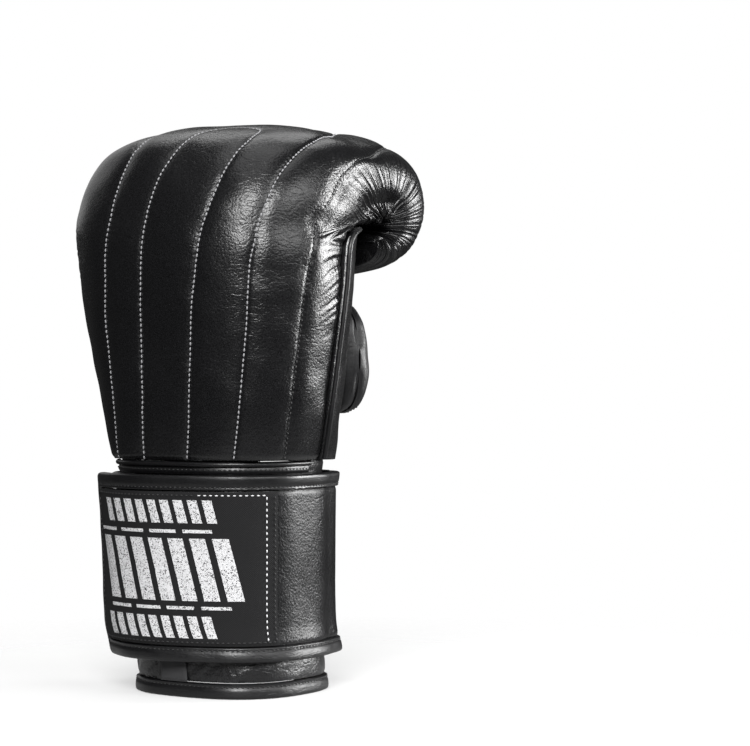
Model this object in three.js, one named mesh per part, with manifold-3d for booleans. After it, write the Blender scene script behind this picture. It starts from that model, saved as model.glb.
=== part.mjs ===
import * as THREE from 'three';
import { mergeVertices } from 'three/addons/utils/BufferGeometryUtils.js';
import Module from 'manifold-3d';

// A right-hand bag glove that stands on the rim of its cuff. Millimetres. +Z runs from the cuff to
// the knuckles, -Y is the back of the hand, +Y the palm, +X the little finger's side and -X the
// thumb's side.

// Fist: its width, the reach of the knuckles behind the crease of the fingers, that crease, how far
// the fist's base stands out past the top of the sleeve, and the share of its height below which its
// width follows the sleeve's.
const FIST_HALF_WIDTH = 69;
const KNUCKLE_REACH = 100;
const CREASE_OUT = 46;
const CREASE_HEIGHT = 219.5;
const CREASE_RADIUS = 3;
const PAD_THICK = 27;
const SIDE_WALL = 9;
const BASE_OVERHANG = 5.2;
const BASE_FLARE = 0.3;

// Cuff: the sleeve round the wrist.
const CUFF_HEIGHT = 108.5;
const CUFF_HALF_WIDTH = 42;
const CUFF_HALF_DEPTH = 40;
const CUFF_SQUARE = 2.6;

// Leather, seams and pipings. The side piping runs between two places among the fist's rows.
const LEATHER = 2.5;
const GAP = 0.3;
const PIPING = 2.4;
const PIPING_STAND = 0.42;
const PIPING_FROM = 0.05;
const PIPING_TO = 3.84;
const BAND_THICK = 1.2;
const BAND_STAND = 0.6;

// Bound edge round the bottom of the sleeve and up both sides of its slit.
const RIM_WIDTH = 7;
const RIM_THICK = 5;
const SLIT_TURN = 0.755;
const SLIT_GAP = 2.4;
const SLIT_TOP = 94;
const FINGER_FLAP_RADIUS = 12;
const THUMB_FLAP_RADIUS = 26;

// Closing strap, and the cuff panel under its free end.
const STRAP_LOW = 17;
const STRAP_HEIGHT = 85.5;
const STRAP_THICK = 2.4;
const BINDING_WIDTH = 7;
const BINDING_THICK = 4.4;
const BINDING_SINK = 0.7;
const STRAP_CORNER = 10;
const PATCH_THICK = 0.8;

// Thumb.
const THUMB_REACH = 70;
const THUMB_HEIGHT = 76;
const THUMB_THICK = 28;
const THUMB_PAD = 9;
const THUMB_SQUARE = 2.3;
const THUMB_SEAM = 3;

// Way from the hand's hollow into the thumb. Its middle is at shares of the fist's side, THUMB_REACH
// and CREASE_HEIGHT.
const MOUTH_WIDTH = 20;
const MOUTH_HEIGHT = 44;
const MOUTH_REACH = 14;
const MOUTH_ACROSS = -0.7775;
const MOUTH_OUT = 0.42;
const MOUTH_UP = 0.765;

// Size label, left blank.
const TAG_WIDTH = 16;
const TAG_HEIGHT = 15;
const TAG_THICK = 0.8;
const TAG_TURN = 0.262;
const TAG_STAND = 0.48;

// Sections of the fist. The first five climb from the cuff to the crease, by a share of that
// height. From there the section turns about the crease. Width and shift are shares of
// FIST_HALF_WIDTH; back and middle are shares of KNUCKLE_REACH, measured from the crease line; pad is
// a share of PAD_THICK and wall one of SIDE_WALL. The squareness of the back, and of the palm side
// by the little finger and by the thumb, is the power of its rounded outline. The last three columns
// are the angles, round the section from the little finger's side over the back, where panels meet:
// the little finger's seam, which runs straight from row to row, and the edges of back and palm.
const FIST_ROWS = [
  { rise: 0, turn: 0, width: 0.745, back: 0.905, middle: 0.47, shift: -0.06522, pad: 0.26, wall: 0.7,
    backSquare: 2.6, fingerSquare: 2.6, thumbSquare: 2.5, seam: -6, edge: 149, palm: 200 },
  { rise: 0.2, turn: 0, width: 0.815, back: 0.945, middle: 0.475, shift: -0.05797, pad: 0.45, wall: 0.8,
    backSquare: 2.6, fingerSquare: 2.5, thumbSquare: 2.2, seam: -5, edge: 149, palm: 196 },
  { rise: 0.45, turn: 0, width: 0.89, back: 0.975, middle: 0.48, shift: -0.06957, pad: 0.7, wall: 1,
    backSquare: 2.6, fingerSquare: 2.45, thumbSquare: 1.85, seam: -6, edge: 149, palm: 194 },
  { rise: 0.72, turn: 0, width: 0.96, back: 1.005, middle: 0.48, shift: -0.08406, pad: 0.92, wall: 1,
    backSquare: 2.6, fingerSquare: 2.45, thumbSquare: 1.8, seam: -7, edge: 151, palm: 196 },
  { rise: 1, turn: 0, width: 1, back: 1.01, middle: 0.48, shift: -0.08986, pad: 1, wall: 1,
    backSquare: 2.6, fingerSquare: 2.6, thumbSquare: 2, seam: -60, edge: 157, palm: 202 },
  { rise: 1, turn: 22, width: 0.995, back: 0.9, middle: 0.43, shift: -0.08986, pad: 1, wall: 1,
    backSquare: 2.6, fingerSquare: 3, thumbSquare: 2.2, seam: -66, edge: 171, palm: 209 },
  { rise: 1, turn: 42, width: 0.985, back: 0.69, middle: 0.33, shift: -0.07971, pad: 0.85, wall: 1,
    backSquare: 2.6, fingerSquare: 3.2, thumbSquare: 2.4, seam: -68, edge: 188, palm: 215 },
  { rise: 1, turn: 62, width: 0.965, back: 0.535, middle: 0.26, shift: -0.06087, pad: 0.68, wall: 1,
    backSquare: 2.35, fingerSquare: 3.2, thumbSquare: 2.6, seam: -68, edge: 217, palm: 218.5 },
  { rise: 1, turn: 85, width: 0.94, back: 0.477, middle: 0.235, shift: -0.04348, pad: 0.62, wall: 1,
    backSquare: 2.35, fingerSquare: 3.2, thumbSquare: 2.6, seam: -68, edge: 236, palm: 236 },
  { rise: 1, turn: 110, width: 0.915, back: 0.485, middle: 0.235, shift: -0.02899, pad: 0.62, wall: 1,
    backSquare: 2.4, fingerSquare: 3.1, thumbSquare: 2.6, seam: -68, edge: 244, palm: 244 },
  { rise: 1, turn: 137, width: 0.905, back: 0.52, middle: 0.24, shift: -0.02174, pad: 0.65, wall: 1,
    backSquare: 2.5, fingerSquare: 3, thumbSquare: 2.5, seam: -67, edge: 245, palm: 245 },
  { rise: 1, turn: 163, width: 0.87, back: 0.525, middle: 0.24, shift: -0.01449, pad: 0.68, wall: 1,
    backSquare: 2.5, fingerSquare: 2.9, thumbSquare: 2.4, seam: -66, edge: 245, palm: 245 },
  { rise: 1, turn: 188, width: 0.83, back: 0.48, middle: 0.215, shift: -0.01449, pad: 0.75, wall: 1,
    backSquare: 2.4, fingerSquare: 2.8, thumbSquare: 2.3, seam: -65, edge: 244, palm: 244 },
  { rise: 1, turn: 212, width: 0.795, back: 0.385, middle: 0.15, shift: -0.01449, pad: 0.8, wall: 0.7,
    backSquare: 2.4, fingerSquare: 2.8, thumbSquare: 2.3, seam: -62, edge: 242, palm: 242 },
  { rise: 1, turn: 235, width: 0.77, back: 0.28, middle: 0.09, shift: -0.01449, pad: 0.8, wall: 0.4,
    backSquare: 2.6, fingerSquare: 2.8, thumbSquare: 2.4, seam: -56, edge: 236, palm: 236 },
  { rise: 1, turn: 258, width: 0.755, back: 0.22, middle: 0.065, shift: -0.01449, pad: 0.8, wall: 0.3,
    backSquare: 2.8, fingerSquare: 2.8, thumbSquare: 2.6, seam: -50, edge: 230, palm: 230 },
];

// Sections of the sleeve: rise is a share of CUFF_HEIGHT, width of CUFF_HALF_WIDTH, depth of
// CUFF_HALF_DEPTH and shift, towards the thumb, of CUFF_HALF_WIDTH.
const CUFF_ROWS = [
  { rise: 0, width: 1, depth: 0.985, shift: 0 },
  { rise: 0.14, width: 1, depth: 0.985, shift: -0.02 },
  { rise: 0.3, width: 1.02, depth: 0.99, shift: -0.1 },
  { rise: 0.62, width: 1.04, depth: 0.995, shift: -0.12 },
  { rise: 0.9, width: 1.07, depth: 1.01, shift: -0.14 },
  { rise: 1, width: 1.1, depth: 1.04, shift: -0.14 },
];

// Sections of the thumb, from its base seam on the glove's side round to the tip over the palm.
// across is a share of the way out to the fist's side behind the thumb and out one of THUMB_REACH; up
// is a share of CREASE_HEIGHT;
// heading is the thumb's direction in degrees from +X; tall and thick are shares of THUMB_HEIGHT and
// THUMB_THICK.
const THUMB_ROWS = [
  { across: -1.078, out: -0.17, up: 0.75, heading: 90, tall: 0.3, thick: 0.08 },
  { across: -1.097, out: -0.02, up: 0.75, heading: 90, tall: 0.75, thick: 0.14 },
  { across: -1.071, out: 0.15, up: 0.75, heading: 86, tall: 0.94, thick: 0.28 },
  { across: -1.003, out: 0.42, up: 0.747, heading: 72, tall: 0.97, thick: 0.72 },
  { across: -0.8184, out: 0.7, up: 0.742, heading: 48, tall: 0.92, thick: 0.95 },
  { across: -0.5422, out: 0.86, up: 0.735, heading: 22, tall: 0.87, thick: 1.05 },
  { across: -0.2251, out: 0.92, up: 0.728, heading: 4, tall: 0.84, thick: 1.05 },
  { across: 0.08184, out: 0.91, up: 0.721, heading: -6, tall: 0.8, thick: 1 },
  { across: 0.3171, out: 0.87, up: 0.715, heading: -14, tall: 0.72, thick: 0.86 },
  { across: 0.4501, out: 0.83, up: 0.711, heading: -20, tall: 0.54, thick: 0.6 },
  { across: 0.5115, out: 0.81, up: 0.71, heading: -24, tall: 0.2, thick: 0.24 },
];

// How far the strap and the panel stand off the sleeve, in thicknesses of the binding, at turns
// round the cuff from the little finger's side over the back.
const STRAP_LIFTS = [
  { turns: 0.8, lift: 0.3 },
  { turns: 0.835, lift: 0.3 },
  { turns: 0.87, lift: 1.4 },
  { turns: 0.93, lift: 0.42 },
  { turns: 1, lift: 0.32 },
  { turns: 1.16, lift: 0.36 },
  { turns: 1.29, lift: 1.5 },
  { turns: 1.36, lift: 1.6 },
  { turns: 1.42, lift: 2.1 },
];
const PANEL_LIFTS = [
  { turns: 0.315, lift: 0.35 },
  { turns: 0.68, lift: 0.35 },
  { turns: 0.72, lift: 0.75 },
  { turns: 0.76, lift: 0.9 },
  { turns: 0.795, lift: 1.6 },
  { turns: 0.84, lift: 1.7 },
];
const PATCH_FROM = 1.066;

const wasm = await Module();
wasm.setup();

// A column's value between rows, on a smooth curve through them.
function between(rows, column, at) {
  const last = rows.length - 1;
  const i = Math.min(last - 1, Math.max(0, Math.floor(at)));
  const t = at - i;
  const b = rows[i][column];
  const c = rows[i + 1][column];
  const a = i > 0 ? rows[i - 1][column] : 2 * b - c;
  const d = i + 1 < last ? rows[i + 2][column] : 2 * c - b;
  const square = (2 * a - 5 * b + 4 * c - d) * t * t;
  const cube = (3 * b - a - 3 * c + d) * t * t * t;
  return 0.5 * (2 * b + (c - a) * t + square + cube);
}

// Place among the rows, as for between, where a rising column reaches a value.
function placeOf(rows, column, value) {
  const last = rows.length - 1;
  const i = rows.findIndex((row, k) => k === last - 1 || value <= rows[k + 1][column]);
  return i + (value - rows[i][column]) / (rows[i + 1][column] - rows[i][column]);
}

// One quadrant-wise rounded outline: the shares of the half width and half depth at an angle.
function rounded(degrees, square) {
  const angle = THREE.MathUtils.degToRad(degrees);
  const bend = (value) => Math.sign(value) * Math.abs(value) ** (2 / square);
  return [bend(Math.cos(angle)), bend(Math.sin(angle))];
}

// Closed body through rings of equal length. A ring runs out along one face and back along the
// other, so both end caps pair its first and last points.
function loft(rings) {
  const count = rings[0].length;
  const points = rings.flat();
  const faces = [];
  for (let i = 0; i + 1 < rings.length; i++) {
    for (let j = 0; j < count; j++) {
      const a = i * count + j;
      const b = i * count + ((j + 1) % count);
      faces.push([a, b, b + count], [a, b + count, a + count]);
    }
  }
  const lastRing = (rings.length - 1) * count;
  for (let j = 0; j + 1 < count / 2; j++) {
    const [a, b, c, d] = [j, j + 1, count - 2 - j, count - 1 - j];
    faces.push([a, c, b], [a, d, c]);
    faces.push([lastRing + a, lastRing + b, lastRing + c], [lastRing + a, lastRing + c, lastRing + d]);
  }
  return closedGeometry(points, faces);
}

// Geometry of a closed body, with its faces turned outwards.
function closedGeometry(points, faces) {
  let volume = 0;
  for (const [a, b, c] of faces) {
    volume += points[a].dot(new THREE.Vector3().crossVectors(points[b], points[c]));
  }
  const index = faces.flatMap(([a, b, c]) => (volume > 0 ? [a, b, c] : [a, c, b]));
  const geometry = new THREE.BufferGeometry().setFromPoints(points);
  geometry.setIndex(index);
  return geometry;
}

function toSolid(geometry) {
  const bare = geometry.clone();
  bare.deleteAttribute('normal');
  bare.deleteAttribute('uv');
  const merged = mergeVertices(bare, 1e-4);
  const vertProperties = new Float32Array(merged.attributes.position.array);
  const triVerts = new Uint32Array(merged.index.array);
  return new wasm.Manifold(new wasm.Mesh({ numProp: 3, vertProperties, triVerts }));
}

function cutAway(geometry, tool) {
  const mesh = toSolid(geometry).subtract(toSolid(tool)).getMesh();
  const cut = new THREE.BufferGeometry();
  cut.setAttribute('position', new THREE.BufferAttribute(mesh.vertProperties, 3));
  cut.setIndex(new THREE.BufferAttribute(mesh.triVerts, 1));
  return cut;
}

// The most of the way to the middle of the section that the padding and the palm's wall may take.
const PAD_ROOM = 0.94;
const PALM_ROOM = 0.8;

const FIST_BASE = CUFF_HEIGHT + GAP;
const LAST_ROW = FIST_ROWS.length - 1;
const BASE_HALF_WIDTH = CUFF_ROWS[CUFF_ROWS.length - 1].width * CUFF_HALF_WIDTH + BASE_OVERHANG;
const BASE_CHANGE = BASE_HALF_WIDTH - FIST_ROWS[0].width * FIST_HALF_WIDTH;
const CREASE_ROW = FIST_ROWS.findIndex((row) => row.rise === 1);

// Sizes of the fist's section at a place among its rows.
function fistSection(at) {
  const value = (column) => between(FIST_ROWS, column, at);
  const back = value('back') * KNUCKLE_REACH;
  const middle = value('middle') * KNUCKLE_REACH;
  const rise = Math.min(1, value('rise'));
  const low = 1 - THREE.MathUtils.smoothstep(rise, 0, BASE_FLARE);
  return {
    at,
    back,
    middle,
    height: FIST_BASE + rise * (CREASE_HEIGHT - FIST_BASE),
    turn: THREE.MathUtils.degToRad(at <= CREASE_ROW ? 0 : value('turn')),
    half: value('width') * FIST_HALF_WIDTH + low * BASE_CHANGE,
    shift: value('shift') * FIST_HALF_WIDTH,
    pad: Math.min(value('pad') * PAD_THICK, PAD_ROOM * (back - middle)),
    wall: value('wall') * SIDE_WALL,
    squares: [value('backSquare'), value('fingerSquare'), value('thumbSquare')],
    seam: seamAngle(at),
    edge: Math.min(value('edge'), value('palm')),
    palm: value('palm'),
  };
}

// Point of a fist section at an angle, moved in by depths at the sides, the back and the palm.
function fistPoint(section, degrees, [side, back, palm] = [0, 0, 0]) {
  const turned = ((degrees % 360) + 360) % 360;
  const [backSquare, fingerSquare, thumbSquare] = section.squares;
  const palmSquare = turned > 270 ? fingerSquare : thumbSquare;
  const [across, deep] = rounded(turned, turned <= 180 ? backSquare : palmSquare);
  const x = section.shift + across * (section.half - side);
  const outward = section.back - back - section.middle;
  const room = section.middle - CREASE_RADIUS;
  const inward = room - Math.min(palm, PALM_ROOM * room);
  const reach = section.middle + deep * (deep > 0 ? outward : inward);
  const y = CREASE_OUT - reach * Math.cos(section.turn);
  const z = section.height + reach * Math.sin(section.turn);
  return new THREE.Vector3(x, y, z);
}

function fistNormal(at, degrees) {
  const step = 0.05;
  const lower = Math.max(0, at - step);
  const upper = Math.min(LAST_ROW, at + step);
  const lengthwise = fistPoint(fistSection(upper), degrees).sub(fistPoint(fistSection(lower), degrees));
  const section = fistSection(at);
  const around = fistPoint(section, degrees + 1).sub(fistPoint(section, degrees - 1));
  return lengthwise.cross(around).normalize();
}

// In degrees round a section: the way from a seam's middle to a panel, and the ends of the stretch
// in which the padding thickens.
const SEAM_TURN = 0.6;
const EDGE_PLAIN = 4;
const EDGE_TURN = 36;

// Half the gap at the seam across the gussets, as a share of a row.
const SEAM_STEP = 0.012;

// Places among the rows that all the panels share: two a row, and one where the seam bends.
const BEND_PLACE = CREASE_ROW - 0.2;
const HALF_ROWS = Array.from({ length: 2 * LAST_ROW + 1 }, (_, i) => i / 2);
const PLACES = [...HALF_ROWS, BEND_PLACE].sort((a, b) => a - b);

// Wall of the fist between two places among its rows and two angles that may change on the way.
function fistPanel({ start, end, from, to, steps, depths }) {
  const within = PLACES.filter((at) => at > start + 2 * SEAM_STEP && at < end - 2 * SEAM_STEP);
  const rings = [];
  for (const at of [start, ...within, end]) {
    const section = fistSection(at);
    const first = from(section) + SEAM_TURN;
    const last = to(section) - SEAM_TURN;
    const outer = [];
    const inner = [];
    for (let j = 0; j <= steps; j++) {
      const degrees = first + ((last - first) * j) / steps;
      const fromEdge = Math.min(degrees - first, last - degrees);
      outer.push(fistPoint(section, degrees));
      inner.push(fistPoint(section, degrees, depths(section, fromEdge)));
    }
    rings.push([...outer, ...inner.reverse()]);
  }
  return loft(rings);
}

const LEATHER_DEPTHS = () => [LEATHER, LEATHER, LEATHER];

// The padding thins to its leather at the seams.
function padDepths(section, fromEdge) {
  const full = THREE.MathUtils.smoothstep(fromEdge, EDGE_PLAIN, EDGE_TURN);
  return [section.wall, section.pad, section.wall].map((deep) => LEATHER + (deep - LEATHER) * full);
}

// The little finger's seam bends in to the crease at the end of its way up.
const SEAM_BEND = 8;

function seamAngle(at) {
  const i = Math.min(LAST_ROW - 1, Math.floor(at));
  const part = (at - i) ** (i === CREASE_ROW - 1 ? SEAM_BEND : 1);
  return THREE.MathUtils.lerp(FIST_ROWS[i].seam, FIST_ROWS[i + 1].seam, part);
}

const UPPER_GUSSET_END = CREASE_ROW + 3;

function fistPad() {
  return fistPanel({
    start: 0,
    end: LAST_ROW,
    from: (section) => section.seam,
    to: (section) => section.edge,
    steps: 17,
    depths: padDepths,
  });
}

function palmPanel() {
  const panel = fistPanel({
    start: 0,
    end: LAST_ROW,
    from: (section) => section.palm,
    to: (section) => section.seam + 360,
    steps: 7,
    depths: LEATHER_DEPTHS,
  });
  return cutAway(panel, thumbMouth());
}

function gusset(start, end) {
  return fistPanel({
    start,
    end,
    from: (section) => section.edge,
    to: (section) => section.palm,
    steps: 4,
    depths: LEATHER_DEPTHS,
  });
}

// Round tube with flat ends through points.
function tube(points, across, steps) {
  const sides = 6;
  const ring = Array.from({ length: sides }, (_, i) =>
    new THREE.Vector2(across / 2, 0).rotateAround(new THREE.Vector2(), (2 * Math.PI * i) / sides),
  );
  return new THREE.ExtrudeGeometry(new THREE.Shape(ring), {
    extrudePath: new THREE.CatmullRomCurve3(points),
    steps,
    bevelEnabled: false,
  });
}

// Piping along the little finger's side, from the cuff to the crease.
function sidePiping() {
  const count = 14;
  const proud = PIPING / 2 + PIPING_STAND;
  const points = Array.from({ length: count + 1 }, (_, i) => {
    const at = PIPING_FROM + ((PIPING_TO - PIPING_FROM) * i) / count;
    const section = fistSection(at);
    return fistPoint(section, section.seam).addScaledVector(fistNormal(at, section.seam), proud);
  });
  return tube(points, PIPING, 22);
}

function cuffSection(z) {
  const at = placeOf(CUFF_ROWS, 'rise', z / CUFF_HEIGHT);
  return {
    half: between(CUFF_ROWS, 'width', at) * CUFF_HALF_WIDTH,
    deep: between(CUFF_ROWS, 'depth', at) * CUFF_HALF_DEPTH,
    shift: between(CUFF_ROWS, 'shift', at) * CUFF_HALF_WIDTH,
  };
}

function cuffOutline(section, degrees) {
  const [across, deep] = rounded(degrees, CUFF_SQUARE);
  return new THREE.Vector2(section.shift + across * section.half, -deep * section.deep);
}

// Lengths round the sleeve's outline, so that turns can be shares of its girth.
const GIRTH_STEPS = 720;
const LENGTHS = [0];
const MIDDLE_SECTION = cuffSection(CUFF_HEIGHT / 2);
for (let i = 1; i <= GIRTH_STEPS; i++) {
  const here = cuffOutline(MIDDLE_SECTION, (360 * i) / GIRTH_STEPS);
  const before = cuffOutline(MIDDLE_SECTION, (360 * (i - 1)) / GIRTH_STEPS);
  LENGTHS.push(LENGTHS[i - 1] + here.distanceTo(before));
}
const GIRTH = LENGTHS[GIRTH_STEPS];

function cuffAngle(turns) {
  const whole = Math.floor(turns);
  const length = (turns - whole) * GIRTH;
  const i = Math.min(GIRTH_STEPS - 1, LENGTHS.findIndex((value, k) => LENGTHS[k + 1] >= length));
  const part = (length - LENGTHS[i]) / (LENGTHS[i + 1] - LENGTHS[i]);
  return 360 * (whole + (i + part) / GIRTH_STEPS);
}

// Point on the cuff at turns round it and a height, standing off the sleeve's outer face.
function cuffPoint(turns, z, off) {
  const section = cuffSection(z);
  const degrees = cuffAngle(turns);
  const here = cuffOutline(section, degrees);
  const ahead = cuffOutline(section, degrees + 1);
  const behind = cuffOutline(section, degrees - 1);
  const normal = new THREE.Vector2(behind.y - ahead.y, ahead.x - behind.x).normalize();
  return new THREE.Vector3(here.x + normal.x * off, here.y + normal.y * off, z);
}

// Height that a rounded corner adds at a distance from the edge beside it.
function cornerRise(distance, radius) {
  if (distance >= radius) return 0;
  return radius - Math.sqrt(Math.max(0, radius ** 2 - (radius - distance) ** 2));
}

// Places from 0 to 1 along a length whose ends have round corners, closer together near them.
function placesWithCorners(steps, share) {
  const corner = [0, 0.1, 0.3, 0.6].map((part) => part * share);
  const plain = Array.from({ length: steps + 1 }, (_, i) => share + ((1 - 2 * share) * i) / steps);
  return [...corner, ...plain, ...corner.map((part) => 1 - part).reverse()];
}

// Upright wall round the cuff: at each place the ring runs up its outer face and down its inner one.
function cuffWall({ places, turnsAt, lowAt, highAt, offAt, thick, levels }) {
  const rings = places.map((place) => {
    const turns = turnsAt(place);
    const low = lowAt(place);
    const high = highAt(place);
    const heights = Array.from({ length: levels + 1 }, (_, i) => low + ((high - low) * i) / levels);
    const outer = heights.map((z) => cuffPoint(turns, z, offAt(turns) + thick));
    const inner = heights.map((z) => cuffPoint(turns, z, offAt(turns)));
    return [...outer, ...inner.reverse()];
  });
  return loft(rings);
}

// Cross section of a bound edge: shares of its width in from the edge, and of its thickness.
const BOUND_PROFILE = [
  [0, 0.7], [0.16, 1], [1, 1],
  [1, 0], [0.16, 0], [0, 0.3],
];

const BOUND_STEP = 8;

// Bound edge along a path of lengths round the cuff and heights, each with its inward direction.
function boundEdge(path, width, thick, offAt) {
  const rings = path.map(({ length, z, inLength, inZ }) =>
    BOUND_PROFILE.map(([inward, deep]) => {
      const turns = (length + inLength * inward * width) / GIRTH;
      return cuffPoint(turns, z + inZ * inward * width, offAt(turns) + deep * thick);
    }),
  );
  return loft(rings);
}

const CORNER_STEPS = 5;

// Path through corner points, each with a radius, with the bound side on the left of its travel.
function roundedPath(corners, step) {
  const path = [];
  const put = (point, direction) => {
    path.push({ length: point.x, z: point.y, inLength: -direction.y, inZ: direction.x });
  };
  const points = corners.map(({ length, z }) => new THREE.Vector2(length, z));
  let start = points[0];
  for (let i = 1; i < points.length; i++) {
    const radius = corners[i].radius ?? 0;
    const direction = points[i].clone().sub(points[i - 1]).normalize();
    const end = points[i].clone().addScaledVector(direction, -radius);
    const count = Math.max(1, Math.round(start.distanceTo(end) / step));
    for (let k = path.length ? 1 : 0; k <= count; k++) {
      put(start.clone().lerp(end, k / count), direction);
    }
    if (i + 1 === points.length) break;
    const next = points[i + 1].clone().sub(points[i]).normalize();
    const left = new THREE.Vector2(-direction.y, direction.x);
    const centre = end.clone().addScaledVector(left, radius);
    for (let k = 1; k <= CORNER_STEPS; k++) {
      const angle = (Math.PI * k) / (2 * CORNER_STEPS);
      const onArc = end.clone().rotateAround(centre, angle);
      put(onArc, direction.clone().rotateAround(new THREE.Vector2(), angle));
    }
    start = points[i].clone().addScaledVector(next, radius);
  }
  return path;
}

const SLIT_LENGTH = SLIT_TURN * GIRTH;
const FLAP_START = SLIT_LENGTH + SLIT_GAP / 2;
const FLAP_END = SLIT_LENGTH + GIRTH - SLIT_GAP / 2;

function wristRim() {
  const path = roundedPath(
    [
      { length: FLAP_START, z: SLIT_TOP },
      { length: FLAP_START, z: 0, radius: FINGER_FLAP_RADIUS },
      { length: FLAP_END, z: 0, radius: THUMB_FLAP_RADIUS },
      { length: FLAP_END, z: SLIT_TOP },
    ],
    BOUND_STEP,
  );
  const sink = (RIM_THICK + LEATHER) / 2;
  return boundEdge(path, RIM_WIDTH, RIM_THICK, () => -sink);
}

function wristSleeve() {
  const edge = RIM_WIDTH + 2 * GAP;
  const start = FLAP_START + edge;
  const length = FLAP_END - edge - start;
  const fingerCorner = FINGER_FLAP_RADIUS - edge;
  const thumbCorner = THUMB_FLAP_RADIUS - edge;
  return cuffWall({
    places: placesWithCorners(29, thumbCorner / length),
    turnsAt: (place) => (start + place * length) / GIRTH,
    lowAt: (place) =>
      edge + cornerRise(place * length, fingerCorner) + cornerRise((1 - place) * length, thumbCorner),
    highAt: () => CUFF_HEIGHT,
    offAt: () => -LEATHER,
    thick: LEATHER,
    levels: 6,
  });
}

function liftAt(rows) {
  return (turns) => {
    const first = rows[0].turns;
    const last = rows[rows.length - 1].turns;
    const near = Math.min(last, Math.max(first, turns));
    const at = placeOf(rows, 'turns', near);
    const i = Math.min(rows.length - 2, Math.floor(at));
    const part = THREE.MathUtils.smoothstep(at - i, 0, 1);
    return THREE.MathUtils.lerp(rows[i].lift, rows[i + 1].lift, part) * BINDING_THICK;
  };
}

const STRAP_START = STRAP_LIFTS[0].turns;
const STRAP_END = STRAP_LIFTS[STRAP_LIFTS.length - 1].turns;
const PANEL_START = PANEL_LIFTS[0].turns;
const PANEL_END = PANEL_LIFTS[PANEL_LIFTS.length - 1].turns;
const STRAP_HIGH = STRAP_LOW + STRAP_HEIGHT;
const BODY_LOW = STRAP_LOW + BINDING_WIDTH + GAP;
const BODY_HIGH = STRAP_HIGH - BINDING_WIDTH - GAP;
const BODY_CORNER = STRAP_CORNER - BINDING_WIDTH - GAP;
const strapLift = liftAt(STRAP_LIFTS);
const panelLift = liftAt(PANEL_LIFTS);

function strap() {
  const start = STRAP_START * GIRTH;
  const length = (STRAP_END - STRAP_START) * GIRTH - BINDING_WIDTH - GAP;
  const rise = (place) => cornerRise((1 - place) * length, BODY_CORNER);
  return cuffWall({
    places: placesWithCorners(30, BODY_CORNER / length),
    turnsAt: (place) => (start + place * length) / GIRTH,
    lowAt: (place) => BODY_LOW + rise(place),
    highAt: (place) => BODY_HIGH - rise(place),
    offAt: strapLift,
    thick: STRAP_THICK,
    levels: 2,
  });
}

function strapBinding() {
  const path = roundedPath(
    [
      { length: STRAP_START * GIRTH, z: STRAP_LOW },
      { length: STRAP_END * GIRTH, z: STRAP_LOW, radius: STRAP_CORNER },
      { length: STRAP_END * GIRTH, z: STRAP_HIGH, radius: STRAP_CORNER },
      { length: STRAP_START * GIRTH, z: STRAP_HIGH },
    ],
    BOUND_STEP,
  );
  return boundEdge(path, BINDING_WIDTH, BINDING_THICK, (turns) => strapLift(turns) - BINDING_SINK);
}

function patch() {
  const start = PATCH_FROM * GIRTH;
  const length = (STRAP_END - PATCH_FROM) * GIRTH - BINDING_WIDTH - 2 * GAP;
  const rise = (place) => cornerRise((1 - place) * length, BODY_CORNER);
  return cuffWall({
    places: placesWithCorners(16, BODY_CORNER / length),
    turnsAt: (place) => (start + place * length) / GIRTH,
    lowAt: (place) => BODY_LOW + GAP + rise(place),
    highAt: (place) => BODY_HIGH - GAP - rise(place),
    offAt: (turns) => strapLift(turns) + STRAP_THICK + GAP,
    thick: PATCH_THICK,
    levels: 2,
  });
}

function cuffPanel() {
  const start = PANEL_START * GIRTH;
  const length = (PANEL_END - PANEL_START) * GIRTH;
  return cuffWall({
    places: Array.from({ length: 29 }, (_, i) => i / 28),
    turnsAt: (place) => (start + place * length) / GIRTH,
    lowAt: () => BODY_LOW,
    highAt: () => BODY_HIGH,
    offAt: panelLift,
    thick: STRAP_THICK,
    levels: 2,
  });
}

function panelBinding(top) {
  const ends = [
    { length: PANEL_START * GIRTH, z: top ? STRAP_HIGH : STRAP_LOW },
    { length: PANEL_END * GIRTH, z: top ? STRAP_HIGH : STRAP_LOW },
  ];
  const path = roundedPath(top ? ends.reverse() : ends, BOUND_STEP);
  return boundEdge(path, BINDING_WIDTH, BINDING_THICK, (turns) => panelLift(turns) - BINDING_SINK);
}

// Turns round the cuff that face an angle of the fist's base.
const BASE_ROW = FIST_ROWS[0];
const BAND_FROM = BASE_ROW.seam / 360;
const BAND_TO = BASE_ROW.edge / 360;

function basePiping() {
  const count = 20;
  const points = Array.from({ length: count + 1 }, (_, i) => {
    const turns = BAND_FROM + ((BAND_TO - BAND_FROM) * i) / count;
    return cuffPoint(turns, CUFF_HEIGHT - PIPING / 2, PIPING / 2 + GAP);
  });
  return tube(points, PIPING, 22);
}

function baseBand() {
  const high = CUFF_HEIGHT - PIPING - GAP;
  const low = STRAP_HIGH + GAP;
  return cuffWall({
    places: Array.from({ length: 21 }, (_, i) => i / 20),
    turnsAt: (place) => BAND_FROM + place * (BAND_TO - BAND_FROM),
    lowAt: () => low,
    highAt: () => high,
    offAt: () => BAND_STAND,
    thick: BAND_THICK,
    levels: 1,
  });
}

// The way out to the fist's side behind the thumb's base.
const THUMB_BASE_HEIGHT = THUMB_ROWS[0].up * CREASE_HEIGHT;
const THUMB_BASE_RISE = (THUMB_BASE_HEIGHT - FIST_BASE) / (CREASE_HEIGHT - FIST_BASE);
const SIDE_SECTION = fistSection(placeOf(FIST_ROWS, 'rise', THUMB_BASE_RISE));
const FIST_SIDE = SIDE_SECTION.half - SIDE_SECTION.shift;

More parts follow.
